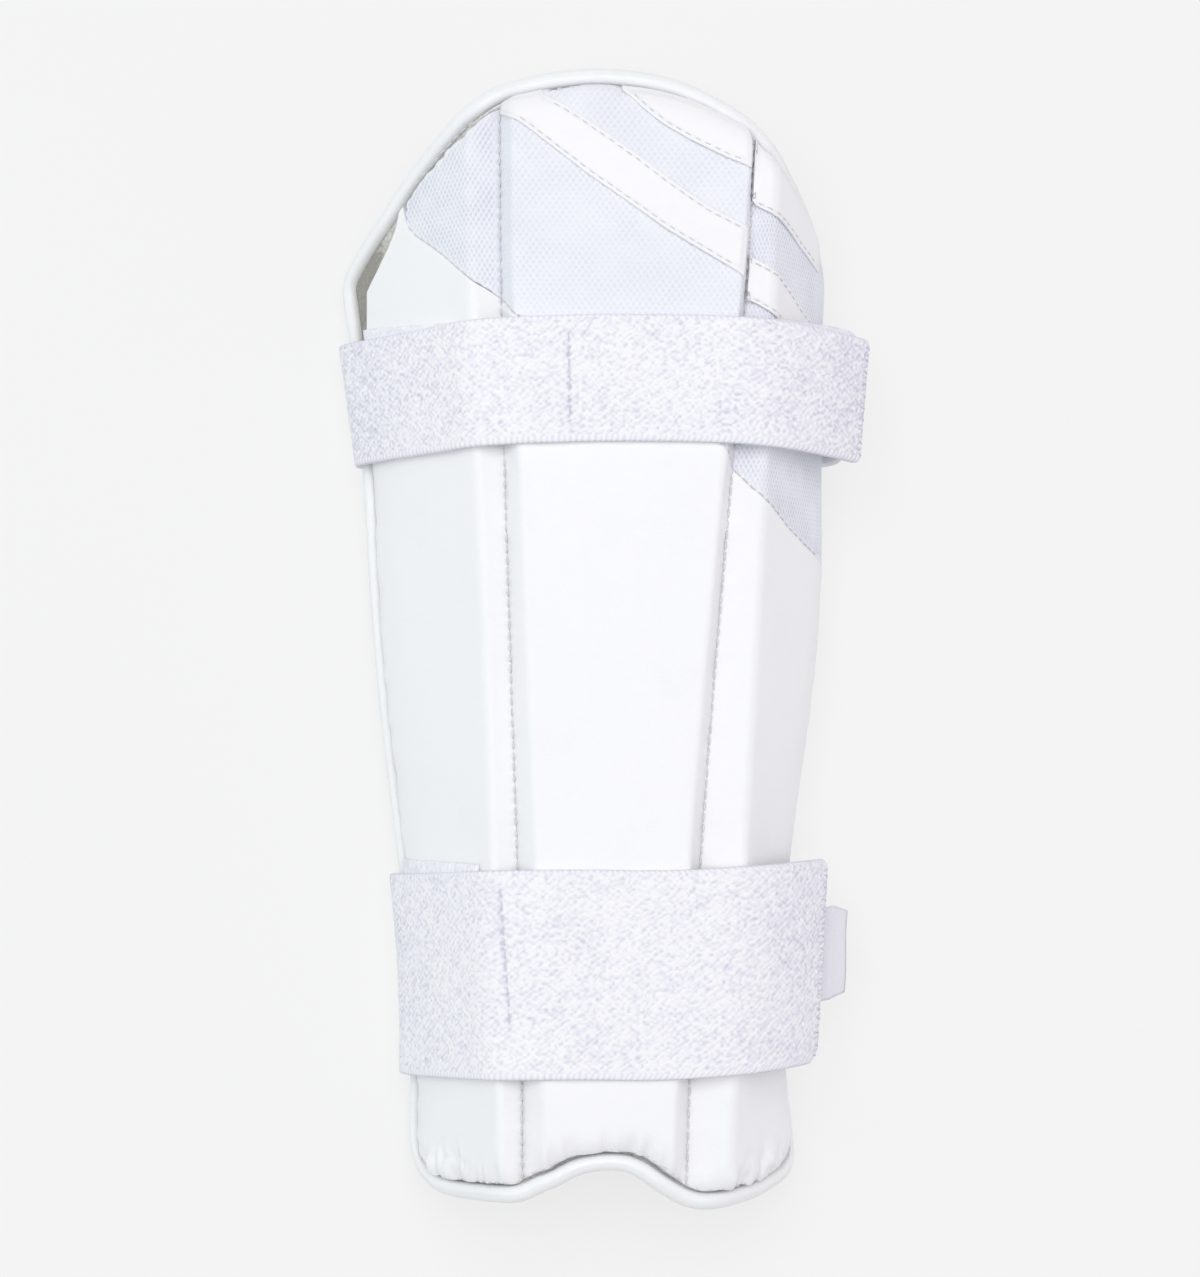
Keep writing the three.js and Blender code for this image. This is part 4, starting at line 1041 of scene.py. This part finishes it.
def tab(name, u0, u1, low, high):
    us = fine_us(u0, u1, 0.8)
    tv = spaced(40.0, 0.8, 1, (0.15, 0.4))
    lo, hi = np.full(len(us), low), high(us)
    Y = lo[None] + (hi - lo)[None] * tv[:, None]
    U = np.broadcast_to(us[None], Y.shape)
    x, z = front(U, Y)
    x2, z2 = front(U + 0.02, Y); x1, z1 = front(U - 0.02, Y)
    L = np.hypot(x2 - x1, z2 - z1); n = as3(-(z2 - z1) / L, 0, (x2 - x1) / L)
    s = across_mm(U)
    d = np.minimum(np.minimum(Y - lo[None], hi[None] - Y), np.minimum(s - s[:, :1], s[:, -1:] - s))
    P = as3(x, Y, z)
    outer = P + n * (0.3 + TAB_T * crown(d, 0.5, 0.3))[..., None]
    V, faces = solid(outer, P + n * 0.15, 1)
    co = np.concatenate([as3(s, Y, 0 * s).reshape(-1, 3)] * 2)
    fold = np.zeros(len(V))
    obj = make(name + "_soft", V, faces, ELASTIC, attributes={"cloth": co, "pebble": np.concatenate([(pebbles(s, Y) * 0.35 + 0.45).ravel()] * 2), "fold": fold})
    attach(obj, "root"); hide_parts(name)


tab("anchor_tab_upper", 0.12, 0.88, 54.0, lambda u: 85.6 - 3.6 * u)
tab("anchor_tab_lower", 0.05, 0.88, -110.0, lambda u: -56.2 - 1.5 * u)

# ------------------------------------------------------------------ label
def label():
    s = STRAPS["strap_lower"]
    along = np.array([-4.0, -2, 0.0, 0.6, 1.6, 2.6, 3.6, 4.4, 4.9, 5.4, 6.2, 7.2, 8.2, 9.2, 9.9])
    bend = np.interp(along, [-4, 0.6, 5.2, 9.9], [0, 0, 0.8, 2.8]) + 0.3 * np.exp(-((along - 5.2) / 0.5) ** 2)
    low = np.interp(along, [-4, 0.6, 5.2, 9.9], [-93.0, -93.6, -93.0, -91.2])
    high = np.interp(along, [-4, 0.6, 5.2, 9.9], [-69.9, -69.4, -68.4, -69.8])
    rows = 25
    G = np.zeros((rows, len(along), 3)); Nn = np.zeros_like(G)
    for r in range(rows):
        for c in range(len(along)):
            y = low[c] + (high[c] - low[c]) * r / (rows - 1)
            cs = strap_corners(s, y - s["bow"][17])
            end, before = np.array(cs[-1][:2]), np.array(cs[-2][:2])
            a = (end - before) / np.hypot(*(end - before)); n = np.array([-a[1], a[0]])
            wave = 0.30 * math.sin(r / (rows - 1) * 5.0 + 0.6) * max(0.0, along[c]) / 9.0
            p = end + a * along[c] + n * (bend[c] - 0.36 + wave)
            G[r, c] = (p[0], y, p[1]); Nn[r, c] = (n[0], 0, n[1])
    V, faces = solid(G, G - Nn * 0.38, 1)
    rr, cc = np.meshgrid(np.linspace(0, 24, rows), along, indexing="ij")
    co = np.concatenate([as3(cc, rr, 0 * rr).reshape(-1, 3)] * 2)
    obj = make("label_soft", V, faces, LABEL, attributes={"cloth": co, "fold": np.zeros(len(V))})
    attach(obj, "root"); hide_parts("label")
label()

# ------------------------------------------------------------------ stitches
class Stitches:
    """Short lengths of thread that dip under the surface at both ends, joined in one mesh."""
    def __init__(self, name, mat, slot):
        self.name, self.mat, self.slot = name, mat, slot
        self.V, self.F, self.C, self.count = [], [], [], 0
    def run(self, points, normals, pitch=2.8, length=2.0, radius=0.2, height=0.12, dip=0.25, jitter=0.1, seed=1, skip=None):
        both, total = resample(np.concatenate([points, normals], 1), 0.1)
        P, Nn = both[:, :3], both[:, 3:]
        rng = np.random.default_rng(seed)
        n = int(total / pitch)
        sides, rings = 6, 7
        for i in range(n):
            s0 = (i + 0.5) * pitch - length / 2 + rng.uniform(-jitter, jitter)
            t = np.linspace(0, 1, rings)
            idx = np.clip(((s0 + t * length) / 0.1).astype(int), 0, len(P) - 1)
            p, q = P[idx], Nn[idx]
            if skip is not None and skip(p[rings // 2]):
                continue
            self.thread(p, q, radius, height, dip, rng.uniform(-0.06, 0.06))
    def one(self, points, normals, radius=0.2, height=0.1, dip=0.25):
        """A single thread along points."""
        both, _ = resample(np.concatenate([points, normals], 1), 0.1)
        idx = np.linspace(0, len(both) - 1, 7).astype(int)
        self.thread(both[idx, :3], both[idx, 3:], radius, height, dip, 0.0)
    def thread(self, p, q, radius, height, dip, aside):
            sides, rings = 6, 7
            t = np.linspace(0, 1, rings)
            q = q / np.linalg.norm(q, axis=1, keepdims=True)
            arch = height - (height + dip) * np.abs(2 * t - 1) ** 4
            side = np.cross(np.gradient(p, axis=0), q); side /= np.maximum(1e-9, np.linalg.norm(side, axis=1, keepdims=True))
            p = p + q * arch[:, None] + side * aside
            r = radius * np.array([0.55, 0.85, 1.0, 1.0, 1.0, 0.85, 0.55])
            ring, _ = tube(p, q, r, sides, 0.3, closed=False)
            off = self.count
            V = np.concatenate([ring.reshape(-1, 3), p[:1], p[-1:]])
            F = tube_faces(rings, sides, False)
            a0 = np.stack([np.full(sides, rings * sides), (np.arange(sides) + 1) % sides, np.arange(sides)], -1)
            b0 = np.stack([np.full(sides, rings * sides + 1), (rings - 1) * sides + np.arange(sides), (rings - 1) * sides + (np.arange(sides) + 1) % sides], -1)
            qn = np.cross(V[F[0][1]] - V[F[0][0]], V[F[0][2]] - V[F[0][0]])
            if np.dot(qn, V[F[0][0]] - p[0]) < 0:
                F, a0, b0 = F[:, ::-1], a0[:, ::-1], b0[:, ::-1]
            self.V.append(V); self.F.append((F + off, np.concatenate([a0, b0]) + off))
            self.C.append(np.stack([V[:, 0] * 1.0, V[:, 1] * 1.0, V[:, 2]], -1))
            self.count += len(V)
    def finish(self):
        V = np.concatenate(self.V)
        quads = np.concatenate([f[0] for f in self.F]); tris = np.concatenate([f[1] for f in self.F])
        obj = make(self.name, V, [quads, tris], self.mat, attributes={"cloth": np.concatenate(self.C)})
        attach(obj, "root")
        return obj


def line_on(us, ys, lift=0.0):
    P, n = surf(us, ys), surf_normal(us, ys)
    return P + n * lift, n


seams = Stitches("seam_stitches", THREAD, "smooth_cover")
for u_at, seed in ((2.0, 1), (5.0, 2)):
    ys = np.arange(float(bottom_of(np.array([u_at]))[0]) + 0.8, float(top_of(np.array([u_at]))[0]) - 0.8, 0.5)
    us = np.full(len(ys), u_at)
    P = surf(us, ys)
    n = as3(np.full(len(ys), 0.0), 0.0, 1.0)
    seams.run(P + np.array([0, 0, 0.26]), n, seed=seed, radius=0.25, height=0.16, length=2.1)
# diagonal seam between mesh and smooth cover
for a, b, seed in ((0.56, 1.97, 3), (2.05, 4.95, 4), (5.05, 6.7, 5)):
    us = fine_us(a, b, 0.4)
    ys = seam_of(us) + 0.25
    P, n = line_on(us, ys, 0.10)
    seams.run(P, n, seed=seed, radius=0.20, height=0.14)
# the row that holds the binding, just inside it all round
for a, b, edge, seed in ((0.60, 6.97, top_of, 6), (0.05, 6.97, bottom_of, 7)):
    us = fine_us(a, b, 0.4)
    ys = edge(us) + (-1.15 if edge is top_of else 1.15)
    P, n = line_on(us, ys, 0.02)
    seams.run(P, n, seed=seed, radius=0.19, height=0.14, length=1.9, pitch=3.0)
seams.finish()

bands = Stitches("band_stitches", THREAD, "band_cover")
def along(line, us, off):
    return line(us) + off * np.sqrt(1 + line.slope(us) ** 2)
for line, a, b, off, seed in ((main_low, 3.03, 3.99, 0.95, 11), (main_high, 3.17, 3.99, -0.95, 12), (upper_low, 3.50, 3.99, 0.95, 13),
                              (main_low, 5.25, 6.6, 0.95, 14), (main_high, 5.25, 6.6, -0.95, 15), (upper_low, 5.25, 6.6, 0.95, 16)):
    us = fine_us(a, b, 0.4)
    ys = along(line, us, off)
    keep = ys < top_of(us) - 1.6
    us, ys = us[keep], ys[keep]
    P, n = line_on(us, ys, 0.30 + 0.45 - 0.08)
    if a > 5:
        P = P + n * (0.36 * np.exp(-((across_mm(us) - CUM[5]) / 16.0) ** 2))[:, None]
    bands.run(P, n, seed=seed, radius=0.17, height=0.12, length=1.9)
bands.finish()


def front_z(name):
    outer, n, seen = ROUTES[name]
    keep = seen & (outer[..., 2] > 22.0)
    pts, nn = outer[keep], n[keep]
    def at(x, y):
        i = [int(np.argmin((pts[:, 0] - a) ** 2 + (pts[:, 1] - b) ** 2)) for a, b in zip(x, y)]
        return pts[i, 2], nn[i]
    return at


webbing = Stitches("webbing_stitches", THREAD_LIGHT, "elastic_webbing")
for name, seed in (("strap_upper", 31), ("strap_lower", 32)):
    xa, ya, xb, yb = STITCH_LINES[name]
    q = np.linspace(0, 1, 60)
    x, y = xa + (xb - xa) * q, ya + (yb - ya) * q
    z, n = front_z(name)(x, y)
    z = blur(z, 2.0)
    webbing.run(as3(x, y, z + 0.12), n, pitch=3.1, length=2.3, radius=0.24, height=0.14, dip=0.3, seed=seed)
    # overlocked threads across the cut end
    outer, nn, seen = ROUTES[name]
    R = outer.shape[0]
    ys = outer[:, -1, 1]
    C = outer.shape[1]
    rng = np.random.default_rng(seed + 5)
    places = np.arange(2.2, (ys[-1] - ys[0]) - 2.0, 1.55)
    for j, far in enumerate(places):
        r = int(np.argmin(np.abs(ys - (ys[0] + far + rng.uniform(-0.25, 0.25)))))
        r = min(max(r, 1), R - 2)
        back = int(round((2.0 + 0.5 * (j % 2)) / H))
        seg = outer[r, C - 3 - back:C - 2]; sn = nn[r, C - 3 - back:C - 2]
        seg = seg + sn * 0.10
        seg = seg + np.array([0, 1.0, 0]) * np.linspace(-0.45, 0.45, len(seg))[:, None] * (1 if j % 2 else -1)
        webbing.one(seg, sn, radius=0.20, height=0.10, dip=0.28)
webbing.finish()

# ------------------------------------------------------------------ room
bpy.ops.mesh.primitive_plane_add(size=6.0, location=(0, 0, 0))
floor = bpy.context.active_object
floor.name = "floor"
floor.data.materials.append(FLOOR)

world = bpy.data.worlds.new("world")
bpy.context.scene.world = world
world.use_nodes = True
bg = world.node_tree.nodes["Background"]
bg.inputs[0].default_value = (0.985, 0.99, 1.0, 1.0)
bg.inputs[1].default_value = 0.42


def area(name, loc, target, size, power, colour):
    d = bpy.data.lights.new(name, "AREA")
    d.shape = "RECTANGLE"; d.size, d.size_y = size
    d.energy = power; d.color = colour
    o = bpy.data.objects.new(name, d)
    o.location = loc
    v = np.array(target, float) - np.array(loc, float)
    from mathutils import Vector
    o.rotation_euler = Vector(v).to_track_quat("-Z", "Y").to_euler()
    bpy.context.scene.collection.objects.link(o)


area("key", (-0.05, 0.30, 1.9), (0, 0, 0.03), (1.6, 1.6), 21.4, (1.0, 0.99, 1.0))
area("fill_left", (-1.5, 0.0, 0.7), (0, 0, 0.03), (1.2, 1.6), 4.3, (0.80, 0.98, 1.0))
area("fill_right", (1.5, 0.0, 0.7), (0, 0, 0.03), (1.2, 1.6), 3.1, (1.0, 0.88, 1.0))

scene = bpy.context.scene
scene.view_settings.view_transform = "Standard"
scene.view_settings.look = "None"
scene.view_settings.exposure = 0.0
scene.view_settings.gamma = 1.0
